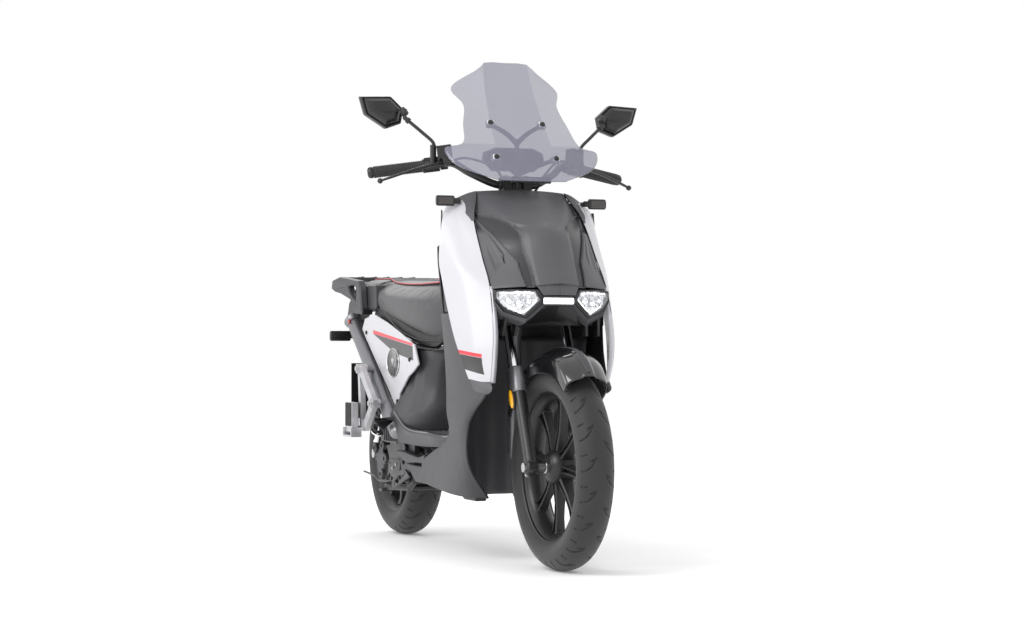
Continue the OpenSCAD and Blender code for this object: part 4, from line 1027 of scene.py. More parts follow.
    plate = prism([(-80, 388), (80, 388), (80, 500), (-80, 500)], 984, 986, "y")
    piece("plate_blank", plate, finish("alloy"), "chassis", bevel=0.8)
    reflector = prism([(-28, 520), (28, 520), (28, 545), (-28, 545)], 984, 989, "y")
    piece("rear_reflector", reflector, finish("red_lens"), "chassis", bevel=1.5)


# ---- seat ----

SEAT = [(-86, 58, 66, 720, 776), (-62, 84, 104, 650, 797), (0, 100, 132, 616, 805),
        (100, 116, 152, 628, 806),
        (230, 122, 161, 657, 806), (386, 124, 161, 691, 811), (486, 122, 156, 724, 820),
        (530, 118, 148, 766, 828),
        (650, 112, 138, 782, 832), (770, 96, 118, 792, 833), (800, 84, 100, 802, 826)]


def seat_ring(y, top_w, wide_w, low, high, n=40):
    ring = []
    for a in np.arange(n) * math.tau / n:
        c, s = math.cos(a), math.sin(a)
        w = wide_w + (top_w - wide_w) * step(s, 0.2, 0.9)
        ring.append((w * math.copysign(abs(c) ** 0.55, c), y,
                     (low + high) / 2 + (high - low) / 2 * math.copysign(abs(s) ** 0.6, s)))
    return ring


def foam(name, rings, cap):
    """Padded piece: a closed skin blown up by the cloth solver, and held near its pattern."""
    obj = piece(name, loft(rings), finish("seat"), "seat", "seat_cushion")
    remesh = obj.modifiers.new("even", "REMESH")
    remesh.mode = "VOXEL"
    remesh.voxel_size = FOAM_VOXEL * MM
    apply(obj)
    rest = np.zeros(len(obj.data.vertices) * 3)
    obj.data.vertices.foreach_get("co", rest)
    cloth = obj.modifiers.new("fill", "CLOTH")
    cloth.settings.use_pressure = True
    cloth.settings.uniform_pressure_force = chosen().pressure
    cloth.settings.effector_weights.gravity = 0
    cloth.settings.mass = 0.3
    cloth.settings.tension_stiffness = cloth.settings.compression_stiffness = 25
    cloth.settings.bending_stiffness = 4
    cloth.point_cache.frame_start, cloth.point_cache.frame_end = 1, FOAM_FRAMES
    for number in range(1, FOAM_FRAMES + 1):
        bpy.context.scene.frame_set(number)
    apply(obj)
    blown = np.zeros_like(rest)
    obj.data.vertices.foreach_get("co", blown)
    move = (blown - rest).reshape(-1, 3)
    far = np.linalg.norm(move, axis=1, keepdims=True)
    move *= np.minimum(1, cap * MM / np.maximum(far, 1e-9))
    obj.data.vertices.foreach_set("co", (rest.reshape(-1, 3) + move).ravel())
    bpy.context.scene.frame_set(1)
    obj.data.materials.clear()
    obj.data.materials.append(finish("seat"))
    obj.data.polygons.foreach_set("use_smooth", [True] * len(obj.data.polygons))
    round_off = obj.modifiers.new("round", "SMOOTH")
    round_off.factor, round_off.iterations = 0.5, 4
    fine = obj.modifiers.new("fine", "SUBSURF")
    fine.levels = fine.render_levels = 1
    return obj


def apply(obj):
    """Keeps an object's shape as its modifiers make it."""
    made = bpy.data.meshes.new_from_object(obj.evaluated_get(bpy.context.evaluated_depsgraph_get()))
    obj.modifiers.clear()
    obj.data = made


def build_seat():
    """Two foam cushions, their black inlay, piping, seams and the hinge side of the pan."""
    rows = curve(SEAT, 5)
    front = [seat_ring(*r) for r in rows if r[0] < 536]
    rear = [seat_ring(y, a, b, low, high) for y, a, b, low, high in rows if y > 500]
    rear = [seat_ring(514, 96, 116, 780, 806), *rear[1:]]
    foam("rider_cushion", front, 6.0)
    foam("pillion_cushion", rear, 6.0)
    inlay = []
    for y, w, _, _, high in rows:
        if -30 < y < 780:
            lift = 4.5 + (2.5 if y > 510 else 0)
            half = w * 0.72 * float(step(y, -34, 30)) + 6
            inlay.append([(s * half, y, high + lift - 2.2 * abs(s) ** 4)
                          for s in np.linspace(-1, 1, 25)])
    piece("seat_inlay", grid(inlay), finish("inlay"), "seat", "seat_cushion", thick=3)
    cords = [tube([(s * r[-1][0], r[-1][1], r[-1][2] + 0.5) for r in inlay[::4]], 1.9, 10)
             for s in (-1, 1)]
    piece("seat_piping", join(*cords), finish("piping"), "seat", "seat_cushion")
    seam = [(467, 759), (384, 719), (285, 676), (188, 649), (70, 628), (-40, 624)]
    sides = []
    for y, z in seam:
        sides.append((table(y, SEAT, 2) + 1.5, y, z + 6))
    piece("seat_side_seams", both(tube(sides, 1.6, 8)), finish("thread"), "seat",
          "seat_cushion")
    skirt = [[(s * (table(y, SEAT, 2) + k), y, table(y, SEAT, 3) + dz)
              for y in np.linspace(-50, 780, 40)]
             for s, k, dz in ((1, -14, -9), (1, -7, -5), (1, -6, 8), (1, -9, 24), (1, -24, 40))]
    piece("seat_skirts", both(grid(skirt)), finish("black"), "seat", "seat_pan",
          thick=2)
    skirt = []
    for y in np.linspace(-40, 560, 40):
        w, low = float(table(y, SEAT, 2)), float(table(y, SEAT, 3))
        foot = float(np.interp(y, [0, 57, 200, 330, 455, 560], [604, 606, 640, 676, 700, 704]))
        skirt.append([(w - 16, y, low - 12), (w - 12, y, low - 13),
                      (min(w - 4, 158), y, min(foot, low - 16))])
    piece("seat_base_walls", both(grid(skirt)), finish("body"), "chassis", thick=2)
    dress(finish("black"), "seat_pan", bevel=1.0)


# ---- controls, screen and mirrors ----

SCREEN = [
    [(0, -489, 1080), (55, -487, 1080), (103, -483, 1082)],
    [(0, -464, 1122), (85, -459, 1122), (206, -436, 1122)],
    [(0, -430, 1172), (88, -425, 1172), (232, -398, 1172)],
    [(0, -416, 1190), (88, -411, 1190), (178, -399, 1190)],
    [(0, -366, 1251), (84, -360, 1251), (160, -350, 1251)],
    [(0, -330, 1310), (80, -324, 1310), (145, -309, 1310)],
    [(0, -300, 1364), (78, -291, 1364), (164, -256, 1364)],
    [(0, -274, 1417), (60, -272, 1417), (92, -270, 1415)],
    [(0, -263, 1440), (40, -263, 1441), (66, -264, 1438)]]
MIRROR = [(433, 1328), (341, 1332), (302, 1296), (310, 1254), (355, 1238), (418, 1277)]
BALL = (308, -268, 1268)


def build_screen():
    """Clear screen with its wings, and the forked bracket with pads and bolts."""
    rows = []
    wide = [curve([row[k] for row in SCREEN], 8) for k in range(3)]
    for centre, mid, edge in zip(*wide):
        right = [centre + (mid - centre) * t for t in np.linspace(0, 1, 9)]
        right += [mid + (edge - mid) * t for t in np.linspace(0, 1, 11)[1:]]
        rows.append([p * (-1, 1, 1) for p in right[:0:-1]] + right)
    p = np.array(rows)
    fold = np.exp(-((abs(p[..., 0]) - 78) / 14) ** 2) * step(p[..., 2], 1080, 1180)
    p[..., 1] -= 3.5 * fold
    piece("screen_shell", grid(p), finish("screen"), "steering", "windshield", thick=3.5,
          sharp=5)
    bars = [tube([(0, -361, 1066), (0, -364, 1140), (0, -359, 1208)], 7, 16)]
    bars += [tube([(0, -360, 1196), (s * 34, -358, 1226), (s * 80, -350, 1251)], [8, 7, 6], 16)
             for s in (-1, 1)]
    bars += [tube([(0, -362, 1106), (s * 40, -398, 1126), (s * 88, -431, 1146)], [8, 7, 6], 16)
             for s in (-1, 1)]
    bars.append(box((-14, -363, 1066), (14, -349, 1080)))
    piece("screen_bracket_arms", join(*bars), finish("powder"), "steering",
          "windshield_bracket", bevel=1)
    pads, heads = [], []
    for x, y, z in ((79, -353, 1251), (90, -434, 1146)):
        for s in (-1, 1):
            way = Vector((0.08 * s, -1, 0.45)).normalized()
            pads.append(placed(loft([[(u * k, v * k, d)
                                      for u, v in ((-12, -10), (12, -10), (12, 10), (-12, 10))]
                                     for d, k in ((-9, 1), (-1, 1), (1, 0.92))]),
                               towards((s * x, y, z), way)))
            pads.append(placed(box((-11, -9, 4), (11, 9, 8)), towards((s * x, y, z), way)))
            heads.append(bolt(Vector((s * x, y, z)) + way * 8, way, 6, 5))
    piece("screen_pads", join(*pads), finish("alloy"), "steering", "windshield_bracket",
          bevel=1.5)
    piece("screen_bolts", join(*heads), finish("powder"), "steering", sharp=40)
    base = box((-60, -480, 1074), (60, -470, 1092))
    piece("screen_foot", base, finish("satin"), "steering", bevel=3)


def build_controls():
    """Handlebar, grips, levers, reservoirs, switches, dash, yokes and hoses."""
    inner = [(0, -347, 1078), (58, -347, 1078), (128, -316, 1112), tuple(GRIP_IN - 75 * BAR_WAY),
             tuple(GRIP_IN), tuple(bar_point(0, 0, 150))]
    route = [(-x, y, z) for x, y, z in inner[:0:-1]] + inner
    piece("handlebar_tube", tube(route, 11, 28), finish("powder"), "steering",
          "handlebar")
    caps = turned([(0, 15), (3, 16.5), (10, 16.5), (13, 15), (16, 11), (15, 5)], bar_point(0, 0, 150.6),
                  BAR_WAY)
    piece("bar_end_weights", both(caps), finish("powder"), "steering", "handlebar")
    profile = [(0.8, 13), (0.8, 20), (5.5, 20.5), (7.5, 18)]
    for k in range(26):
        z = 9 + k * 5.2
        profile += [(z, 16.2), (z + 0.6, 17.3), (z + 3.2, 17.3), (z + 3.8, 16.2)]
    profile += [(145, 17.2), (149, 17.4), (149.3, 14)]
    grip = placed(lathe(profile, Matrix.Identity(4), 48), towards(GRIP_IN, BAR_WAY))
    piece("left_grip_rubber", grip, finish("rubber"), "steering", "left_grip", sharp=50)
    piece("throttle_rubber", flipped(grip), finish("rubber"), "throttle_grip",
          "throttle_grip", sharp=50)
    dress(finish("satin"), "switch_housings", "display", bevel=1.8)
    dress(finish("powder"), "steering_stem", bevel=1.5)
    buttons = []
    for down, out, r in ((-6, -12, 3.4), (6, -14, 3.0), (0, -30, 4.0)):
        buttons.append(turned([(0, r + 1), (1.5, r + 1), (1.6, r), (3.6, r * 0.9), (3.8, r * 0.5)],
                              bar_point(down, -20, out), bar_point(0, -1, 0) - GRIP_IN, 24))
    piece("switch_buttons", both(join(*buttons)), finish("body"), "steering")
    dress(finish("amber"), "kill_switch", bevel=1.0)
    dress(finish("body"), "horn_button", "indicator_switch", bevel=0.8)

    def tank_ring(height, k):
        return [tuple(bar_point(height - 46, back * k - 35, out * k - 63))
                for back, out in ((-17, -21), (17, -21), (17, 21), (-17, 21))]

    tank = loft([tank_ring(0, 0.95), tank_ring(3, 1), tank_ring(31, 1), tank_ring(36, 0.86)])
    lid = loft([tank_ring(-3, 0.92), tank_ring(-1, 1.03), tank_ring(3.5, 1.03)])
    screws = [bolt(bar_point(-49, back, out), bar_point(-1, 0, 0) - GRIP_IN, 2.6, 2)
              for back, out in ((-46, -77), (-24, -49))]
    clamp = placed(lathe([(-66, 12), (-66, 17), (-44, 17), (-44, 12)], Matrix.Identity(4), 40),
                   towards(GRIP_IN, BAR_WAY))
    neck = loft([[tuple(bar_point(a, b, c)) for a, c in ((-12, -78), (12, -78), (12, -56), (-12, -56))]
                 for b in (-14, -50)])
    piece("master_cylinder_bodies", both(join(tank, clamp, neck)), finish("powder"), "steering",
          "master_cylinders", bevel=2.0)
    piece("reservoir_lids", both(lid), finish("satin"), "steering", "master_cylinders",
          bevel=1.2)
    piece("reservoir_screws", both(join(*screws)), finish("steel"), "steering", sharp=40)
    lever = [bar_point(*p)
             for p in ((2, -38, -50), (4, -52, -30), (6, -62, -10), (12, -70, 24), (20, -77, 62),
                                     (28, -81, 98), (33, -82, 122))]
    flat = [(1.0 * math.cos(a), 0.62 * math.sin(a)) for a in np.arange(16) * math.tau / 16]
    blade = tube(lever, [8, 7.5, 7, 6.4, 6.2, 6, 5.4], section=flat)
    ball = turned([(-8, 2), (-6, 5.6), (-2, 7.8), (2, 7.8), (6, 5.4), (8, 1)], bar_point(34, -82, 127),
                  BAR_WAY, 28)
    knob = turned([(-6, 7), (-5, 8), (5, 8), (6, 7)], bar_point(2, -37, -50),
                  bar_point(1, 0, 0) - GRIP_IN, 28)
    lever_shape = join(blade, ball, knob)
    piece("lever_left_blade", lever_shape, finish("powder"), "brake_lever_left",
          "brake_lever_left")
    piece("lever_right_blade", flipped(lever_shape), finish("powder"), "brake_lever_right",
          "brake_lever_right")
    route = [(184, -315, 1143), (150, -338, 1152), (106, -380, 1136), (76, -404, 1112),
             (60, -398, 1090),
             (56, -376, 1066), (40, -352, 1046), (24, -336, 1034), (18, -328, 1005)]
    piece("hose_lines", both(tube(route, 3.4, 12)), finish("rubber"), "steering",
          "brake_hoses")
    banjo = turned([(0, 4), (1, 5.4), (10, 5.4), (11, 4)], route[0], (-0.9, -0.6, 0.2), 20)
    piece("hose_ends", both(banjo), finish("steel"), "steering", "brake_hoses")
    glass = prism([(-58, 1128), (58, 1128), (80, 1152), (76, 1168), (54, 1180), (-54, 1180),
                   (-76, 1168),
                   (-80, 1152)], -321, -319.5, "y")
    piece("dash_glass", glass, finish("gloss"), "steering", "display", bevel=0.8)
    hood = loft([[(s, -350 + d, z)
                  for s, z in about([(-58, 1186), (58, 1186), (90, 1172), (94, 1150), (64, 1118),
                                                     (-64, 1118), (-94, 1150), (-90, 1172)], k)]
                 for d, k in ((0, 0.72), (6, 0.94), (14, 1.0), (30, 1.0))])
    piece("dash_hood", hood, finish("satin"), "steering", "display", bevel=2)
    nuts = [nut((s * 31, -347, 1100), (0, 0, 1), 6, 5) for s in (-1, 1)]
    nuts += [bolt((s * 31, y, 1100), (0, 0, 1), 4.5, 4) for s in (-1, 1) for y in (-362, -332)]
    piece("riser_bolts", join(*nuts), finish("steel"), "steering", sharp=40)
    stem = tube([(229, -287, 1176), (230, -289, 1198), (262, -281, 1228), (306, -268, 1266)],
                [6, 5, 5, 5], 16)
    lock = nut((229, -287, 1168), (0.02, -0.06, 1), 8, 8)
    ball = turned([(-7, 2), (-5, 5), (0, 7), (5, 5), (7, 2)], BALL, (0, 0, 1), 28)
    boot = turned([(0, 6), (0, 8.5), (8, 9), (12, 6.5), (20, 5.6)], (295, -271, 1257),
                  (0.75, 0.2, 0.62), 28)
    clamp = turned([(-31, 8), (-30, 9), (22, 9), (23, 8)],
                   bar_point(-44, -27, -31) + Vector((0, 0, -12)),
                    (0, 0, 1), 28)
    piece("mirror_stem_rods", both(join(stem, lock, ball)), finish("powder"), "steering",
          "mirror_stems")
    piece("mirror_stem_boots", both(boot), finish("rubber"), "steering", "mirror_stems")
    piece("mirror_clamps", both(clamp), finish("powder"), "steering", "mirror_stems")


def build_mirrors():
    """Six-sided mirror shells with glass, on turning ball joints."""
    even = spread(MIRROR, 72)
    rings = [[(x, y, z) for x, z in about(even, k)] for y, k in
             ((-216, 0.955), (-218, 0.985), (-222, 1.0), (-236, 1.0), (-240, 0.97), (-240.5, 0.9),
              (-238, 0.86),
              (-246, 0.82), (-256, 0.62), (-259, 0.36))]
    shell = loft(rings)
    glass = loft([[(x, y, z) for x, z in about(even, k)]
                  for y, k in ((-217, 0.93), (-214.6, 0.93), (-214.2, 0.915))])
    ridge = tube([(318, -254, 1290), (360, -262, 1286), (412, -250, 1300)], [1.2, 2.2, 1.2], 10)
    socket = turned([(-8, 9), (-7, 10.5), (6, 11), (10, 8), (14, 8)], Vector(BALL) + Vector((0, 6, 16)),
                    (0.3, 0.5, 0.8), 28)
    for side, body in ((1, "mirror_left"), (-1, "mirror_right")):
        turn = (lambda s: s) if side > 0 else flipped
        piece(f"{body}_shell", turn(shell), finish("satin"), body, body, sharp=35)
        piece(f"{body}_glass", turn(glass), finish("mirror"), body, body, sharp=35)
        piece(f"{body}_ridge", turn(ridge), finish("satin"), body, body)
        piece(f"{body}_socket", turn(socket), finish("rubber"), body, body)


# ---- wheels and fork ----

def tread(radius, half, pitch_count, depth, curved):
    """Tyre skin with its sipes cut in: a lathe whose crown is lowered by a formula of place."""
    around, across = 1080, 100
    section = np.linspace(-0.62, math.pi + 0.62, across)
    side, up = half * np.cos(section), radius - 45 + 45 * np.sin(section)
    flank = np.cumsum(np.concatenate([[0], np.hypot(np.diff(side), np.diff(up))]))
    mid = flank - flank[-1] / 2
    turn = np.linspace(0, math.tau, around, endpoint=False)[:, None]
    pitch = math.tau * radius / pitch_count
    run = (turn * radius) % pitch
    out = np.abs(mid)[None, :]
    cut = np.zeros((around, across))
    reach = np.clip((out - 8) / 46, 0, 1)
    lines = [(0.0, 10, 58, 44, 2.2, 2.3), (0.5, 36, 58, 10, 1.6, 2.2), (0.2, 14, 30, 24, 1.6, 1.5)]
    for start, low, high, rise, power, wide in lines:
        hand = np.where(mid[None, :] < 0, 0.5 if not curved else 0.0, 0.0)
        lean = rise * (1.3 if curved else 1)
        path = (start + hand) * pitch + lean * (1 - reach) ** power
        slope = lean * power * (1 - reach) ** (power - 1) / 46
        gap = np.abs((run - path + pitch / 2) % pitch - pitch / 2) / np.sqrt(1 + slope ** 2)
        ends = step(out, low, low + 2) * (1 - step(out, high - 3, high))
        line = (1 - step(gap, wide * 0.7, wide * 1.25)) * ends
        cut = np.maximum(cut, line)
    lower = depth * cut
    marks = 0.7 * (1 - step(np.abs(out - 74), 0.6, 1.4)) + 0.7 * (1 - step(np.abs(out - 82), 0.4, 1.0))
    lower = lower - marks
    normal_x, normal_r = np.cos(section), np.sin(section)
    x = side[None, :] - lower * normal_x[None, :]
    r = up[None, :] - lower * normal_r[None, :]
    outer = np.stack([x, r * np.sin(turn), r * np.cos(turn)], 2)
    return grid([*outer, outer[0]])


def tyre(name, node, hub, radius, half, body, curved):
    shell = placed(tread(radius, half, 20, chosen().groove, curved), Matrix.Translation(hub))
    beads = []
    for s in (-1, 1):
        ring = [(s * (half * 0.82), radius - 71), (s * (half * 0.7), radius - 80),
                (s * (half * 0.62), radius - 82),
                (s * (half * 0.6), radius - 74)]
        beads.append(wheel_shape(ring if s < 0 else ring[::-1], hub, 180))
    piece(name, join(shell, *beads), finish("tyre"), body, node, sharp=42)


def spun(shape, count, hub, start=0.0):
    """Copies of a shape set round an axle; the shape points up from the axle at the origin."""
    angles = [start + math.tau * k / count for k in range(count)]
    return join(*[placed(shape, Matrix.Translation(hub) @ Matrix.Rotation(a, 4, "X")) for a in angles])


def build_front_wheel():
    """Tyre with tread, cast rim with paired spokes, hub, spacers, disc bolts and valve."""
    R, half = FRONT_R, FRONT_W / 2
    tyre("front_tyre_tread", "front_tyre", FRONT_HUB, R, half, "front_wheel", False)
    rim = [(half - 15, R - 74), (half - 12, R - 78), (half - 14, R - 82), (half - 19, R - 83),
           (half - 24, R - 92),
           (half - 34, R - 99), (0, R - 103), (34 - half, R - 99), (24 - half, R - 92),
           (19 - half, R - 83),
           (14 - half, R - 82), (12 - half, R - 78), (15 - half, R - 74), (26 - half, R - 84),
           (0, R - 90),
           (half - 26, R - 84)]
    piece("front_rim_hoop", wheel_shape(rim, FRONT_HUB, 180), finish("powder"), "front_wheel",
          "front_rim", sharp=40)
    ribs = []
    for s in (-1, 1):
        ribs.append(loft([[(x * w, y * s + o * s, r)
                           for x, y in ((-1, -2.6), (1, -2.6), (0.8, 2.6), (-0.8, 2.6))]
                          for w, o, r in ((24, 10, 34), (20, 8, 60), (14, 7, 100), (13, 8, 140),
                                          (16, 12, R - 104),
                                          (22, 18, R - 97))]))
    web = loft([[(x, y, r) for x, y in ((-4, -w), (4, -w), (4, w), (-4, w))]
                for w, r in ((9, 34), (7, 70), (6, 110), (7, 150), (14, R - 100))])
    piece("front_spokes", spun(join(*ribs, web), 8, FRONT_HUB, 0.1), finish("powder"), "front_wheel",
          "front_rim", bevel=1.6, sharp=30)
    hub = [(-46, 10), (-46, 18), (-43, 30), (-36, 40), (-24, 47), (-10, 49), (10, 49), (24, 47),
           (36, 40), (43, 30),
           (46, 18), (46, 10)]
    piece("front_hub_shell", wheel_shape(hub, FRONT_HUB, 72), finish("powder"), "front_wheel",
          "front_rim", sharp=40)
    caps = [turned([(0, 16), (2, 17), (4, 15), (5, 12)], FRONT_HUB + Vector((s * 46, 0, 0)), (s, 0, 0))
            for s in (-1, 1)]
    valve = tube([(0, 0, R - 90), (5, 0, R - 112), (9, 0, R - 126)], [4, 3, 3.4], 14)
    piece("front_hub_caps", join(*caps), finish("steel"), "front_wheel")
    piece("front_valve", spun(valve, 1, FRONT_HUB, 0.5), finish("rubber"), "front_wheel")
    dress(finish("steel"), "front_disc", "rear_disc", "rear_axle", "front_axle", bevel=0.5)
    heads = [bolt(FRONT_HUB + Vector((58.4, 36 * math.cos(a), 36 * math.sin(a))), (1, 0, 0), 5, 4)
             for a in np.arange(5) * math.tau / 5]
    piece("front_disc_bolts", join(*heads), finish("steel"), "front_wheel", sharp=40)


def build_rear_wheel():
    """Rear tyre, hub-motor shell with cooling ribs and covers, and rim flanges."""
    R, half = REAR_R, REAR_W / 2
    tyre("rear_tyre_tread", "rear_tyre", REAR_HUB, R, half, "rear_wheel", True)
    rim = [(half - 14, R - 72), (half - 11, R - 77), (half - 13, R - 82), (half - 22, R - 90),
           (half - 34, R - 98),
           (0, R - 102), (34 - half, R - 98), (22 - half, R - 90), (13 - half, R - 82),
           (11 - half, R - 77),
           (14 - half, R - 72), (0, R - 86)]
    drum = [(-46, 20), (-46, 60), (-44, 80), (-40, 84), (-40, 106), (-36, 112), (36, 112), (40, 106),
            (40, 84),
            (44, 80), (46, 60), (46, 20)]
    piece("rear_rim_hoop", wheel_shape(rim, REAR_HUB, 180), finish("powder"), "rear_wheel",
          "rear_hub_motor", sharp=40)
    piece("motor_drum", wheel_shape(drum, REAR_HUB, 120), finish("powder"), "rear_wheel",
          "rear_hub_motor", sharp=30)
    arm = loft([[(x, y, r) for x, y in ((-w, -h), (w, -h), (w, h), (-w, h))]
                for w, h, r in ((22, 12, 104), (18, 9, 130), (20, 8, 150), (26, 15, R - 98))])
    piece("rear_spokes", spun(arm, 10, REAR_HUB), finish("powder"), "rear_wheel",
          "rear_hub_motor", bevel=2)
    rib = join(*[loft([[(s * x, y, r) for x, y in ((40, -2), (44, -2), (44, 2), (40, 2))]
                       for r in (60, 104)])
                 for s in (-1, 1)])
    piece("motor_ribs", spun(rib, 20, REAR_HUB), finish("powder"), "rear_wheel",
          "rear_hub_motor", bevel=0.8)
    heads = [bolt(REAR_HUB + Vector((s * 46, 50 * math.cos(a), 50 * math.sin(a))), (s, 0, 0), 4, 3.5)
             for s in (-1, 1) for a in np.arange(8) * math.tau / 8]
    piece("motor_bolts", join(*heads), finish("steel"), "rear_wheel", sharp=40)


def soft(x, xs, ys):
    """Value read from straight stretches, eased over the bends."""
    return float(np.mean([np.interp(x + d, xs, ys) for d in np.linspace(-7, 7, 15)]))


def guard_rise(a):
    """How far the front mudguard's crown stands off its even arc, at an angle round the wheel."""
    return soft(a, [112, 150, 185, 203, 212, 225], [0, 2, 10, 24, 16, -2])


def mudguard(back, front):
    rows = []
    hub = fork_foot()
    for a in np.linspace(back, front, 90):
        wide = soft(a, [112, 130, 205, 216, 225], [60, 63, 63, 60, 54])
        drop = soft(a, [112, 130, 200, 214, 225], [18, 34, 40, 32, 16])
        crown = FRONT_R + 30 + guard_rise(a)
        line = [(0, crown), (12, crown - 0.5), (17, crown - 6), (22, crown - 8),
                (wide * 0.62, crown - 13),
                (wide * 0.86, crown - 22), (wide * 0.97, crown - 30), (wide, crown - 30 - drop * 0.5),
                (wide, crown - 30 - drop)]
        t = math.radians(a)
        half = [(x, hub.y + r * math.sin(t), hub.z - r * math.cos(t)) for x, r in curve(line, 3)]
        rows.append([(-x, y, z) for x, y, z in half[:0:-1]] + half)
    return rows


def build_fork():
    """Fork tubes, sleeves, axle clamps, mudguard with its raised channel, caliper and reflectors."""
    legs, sleeves, clamps, pins = [], [], [], []
    for s in (-1, 1):
        low = Vector((s * LEG_X, 0, 0)) + fork_foot()
        top = leg_top_point(s)
        length = (top - low).length
        legs.append(lathe([(-20, 0.01), (-20, 14), (-17, 18), (0, 20), (22, 20), (40, 18.4),
                           (length - 60, 18.4),
                           (length - 60, 16)], towards(low, STEER_AXIS), 48))
        sleeves.append(lathe([(length - 74, 16.5), (length - 74, 21), (length - 70, 22),
                              (length - 4, 22),
                              (length, 20.5), (length, 15.4)], towards(low, STEER_AXIS), 48))
        clamps.append(turned([(-15, 19), (-13, 21.5), (13, 21.5), (15, 19)], low, (1, 0, 0), 40))
        clamps.append(loft([[low + Vector((x, 0, 0)) + Vector((0, y, z)) for y, z in
                             ((-12, -26), (14, -26), (12, 6), (-12, 6))] for x in (-11, 11)]))
        pins += [bolt(low + Vector((s * 11, 2, -20)), (s, 0, 0), 4.5, 5),
                 bolt(low + Vector((s * 16, 0, 0)), (s, 0, 0), 8, 6)]
    piece("fork_leg_tubes", join(*legs), finish("powder"), "fork_lower", "fork_lowers")
    piece("fork_leg_sleeves", join(*sleeves), finish("tube"), "fork_lower", "fork_lowers")
    piece("fork_axle_clamps", join(*clamps), finish("powder"), "fork_lower",
          "fork_lowers", bevel=2)
    piece("fork_clamp_bolts", join(*pins), finish("steel"), "fork_lower", sharp=40)
    dress(finish("chrome"), "fork_stanchions")
    piece("front_guard_shell", grid(mudguard(120, 219)), finish("gloss"), "fork_lower",
          "front_mudguard", thick=2.6, sharp=40)
    ridge = []
    for a in np.linspace(126, 217, 44):
        t, r = math.radians(a), FRONT_R + 31.5 + guard_rise(a)
        w = float(np.interp(a, [126, 140, 210, 221], [4, 9, 9, 3]))
        ridge.append([(x, FRONT_HUB.y + q * math.sin(t), FRONT_HUB.z - q * math.cos(t))
                      for x, q in ((-w, r), (-w * 0.7, r + 3), (w * 0.7, r + 3), (w, r))])
    piece("front_guard_spine", grid(ridge), finish("body"), "fork_lower",
          "front_mudguard", bevel=0.8)
    stays = [loft([[Vector((s * (63 + k * 24), 0, 0)) + fork_side(d, h) for d, h in
                    ((-9, 0), (9, 0), (9, 24 + 4 * k), (-9, 24 + 4 * k))] for k in (0, 0.4)])
             for s in (-1, 1)]
    piece("front_guard_stays", join(*stays), finish("powder"), "fork_lower",
          "front_mudguard", bevel=1.5)
    dress(finish("powder"), "front_caliper", "rear_caliper", "swingarm", "centre_stand", bevel=2.0)
    shell = corners("fork_reflectors")
    for side, x in (("left", shell[1].x), ("right", shell[0].x)):
        s = 1 if x > 0 else -1
        mid = Vector((s * 110, (shell[0].y + shell[1].y) / 2, (shell[0].z + shell[1].z) / 2))
        rings = []
        for d, k in ((-3, 1.16), (0, 1.16), (1.5, 1.1)):
            rings.append([mid + Vector((s * d, 0, 0)) + STEER_AXIS * (29 * k * math.sin(a)) * 0.95
                          + Vector((0, STEER_AXIS.z, -STEER_AXIS.y)) * (11.5 * k * math.cos(a))
                          for a in np.arange(40) * math.tau / 40])
        lens = [[mid + (p - mid) * k + Vector((s * d, 0, 0)) for p in rings[0]]
                for d, k in ((4, 0.84), (6.5, 0.83), (7.2, 0.7))]
        piece(f"reflector_tray_{side}", loft(rings), finish("black"), "fork_lower",
              "fork_reflectors")
        piece(f"reflector_lens_{side}", loft(lens), finish("amber"), "fork_lower",
              "fork_reflectors")


def fork_foot():
    """Middle of the front axle, on the centre plane."""
    return Vector((0, FRONT_HUB.y, FRONT_HUB.z))


def leg_top_point(s):
    reach = (corners("fork_lowers")[1].z - FRONT_HUB.z - 9) / STEER_AXIS.z
    return Vector((s * LEG_X, 0, 0)) + fork_foot() + STEER_AXIS * reach


def fork_side(across, along):
    return fork_foot() + Vector((0, STEER_AXIS.z, -STEER_AXIS.y)) * across + STEER_AXIS * (252 + along)


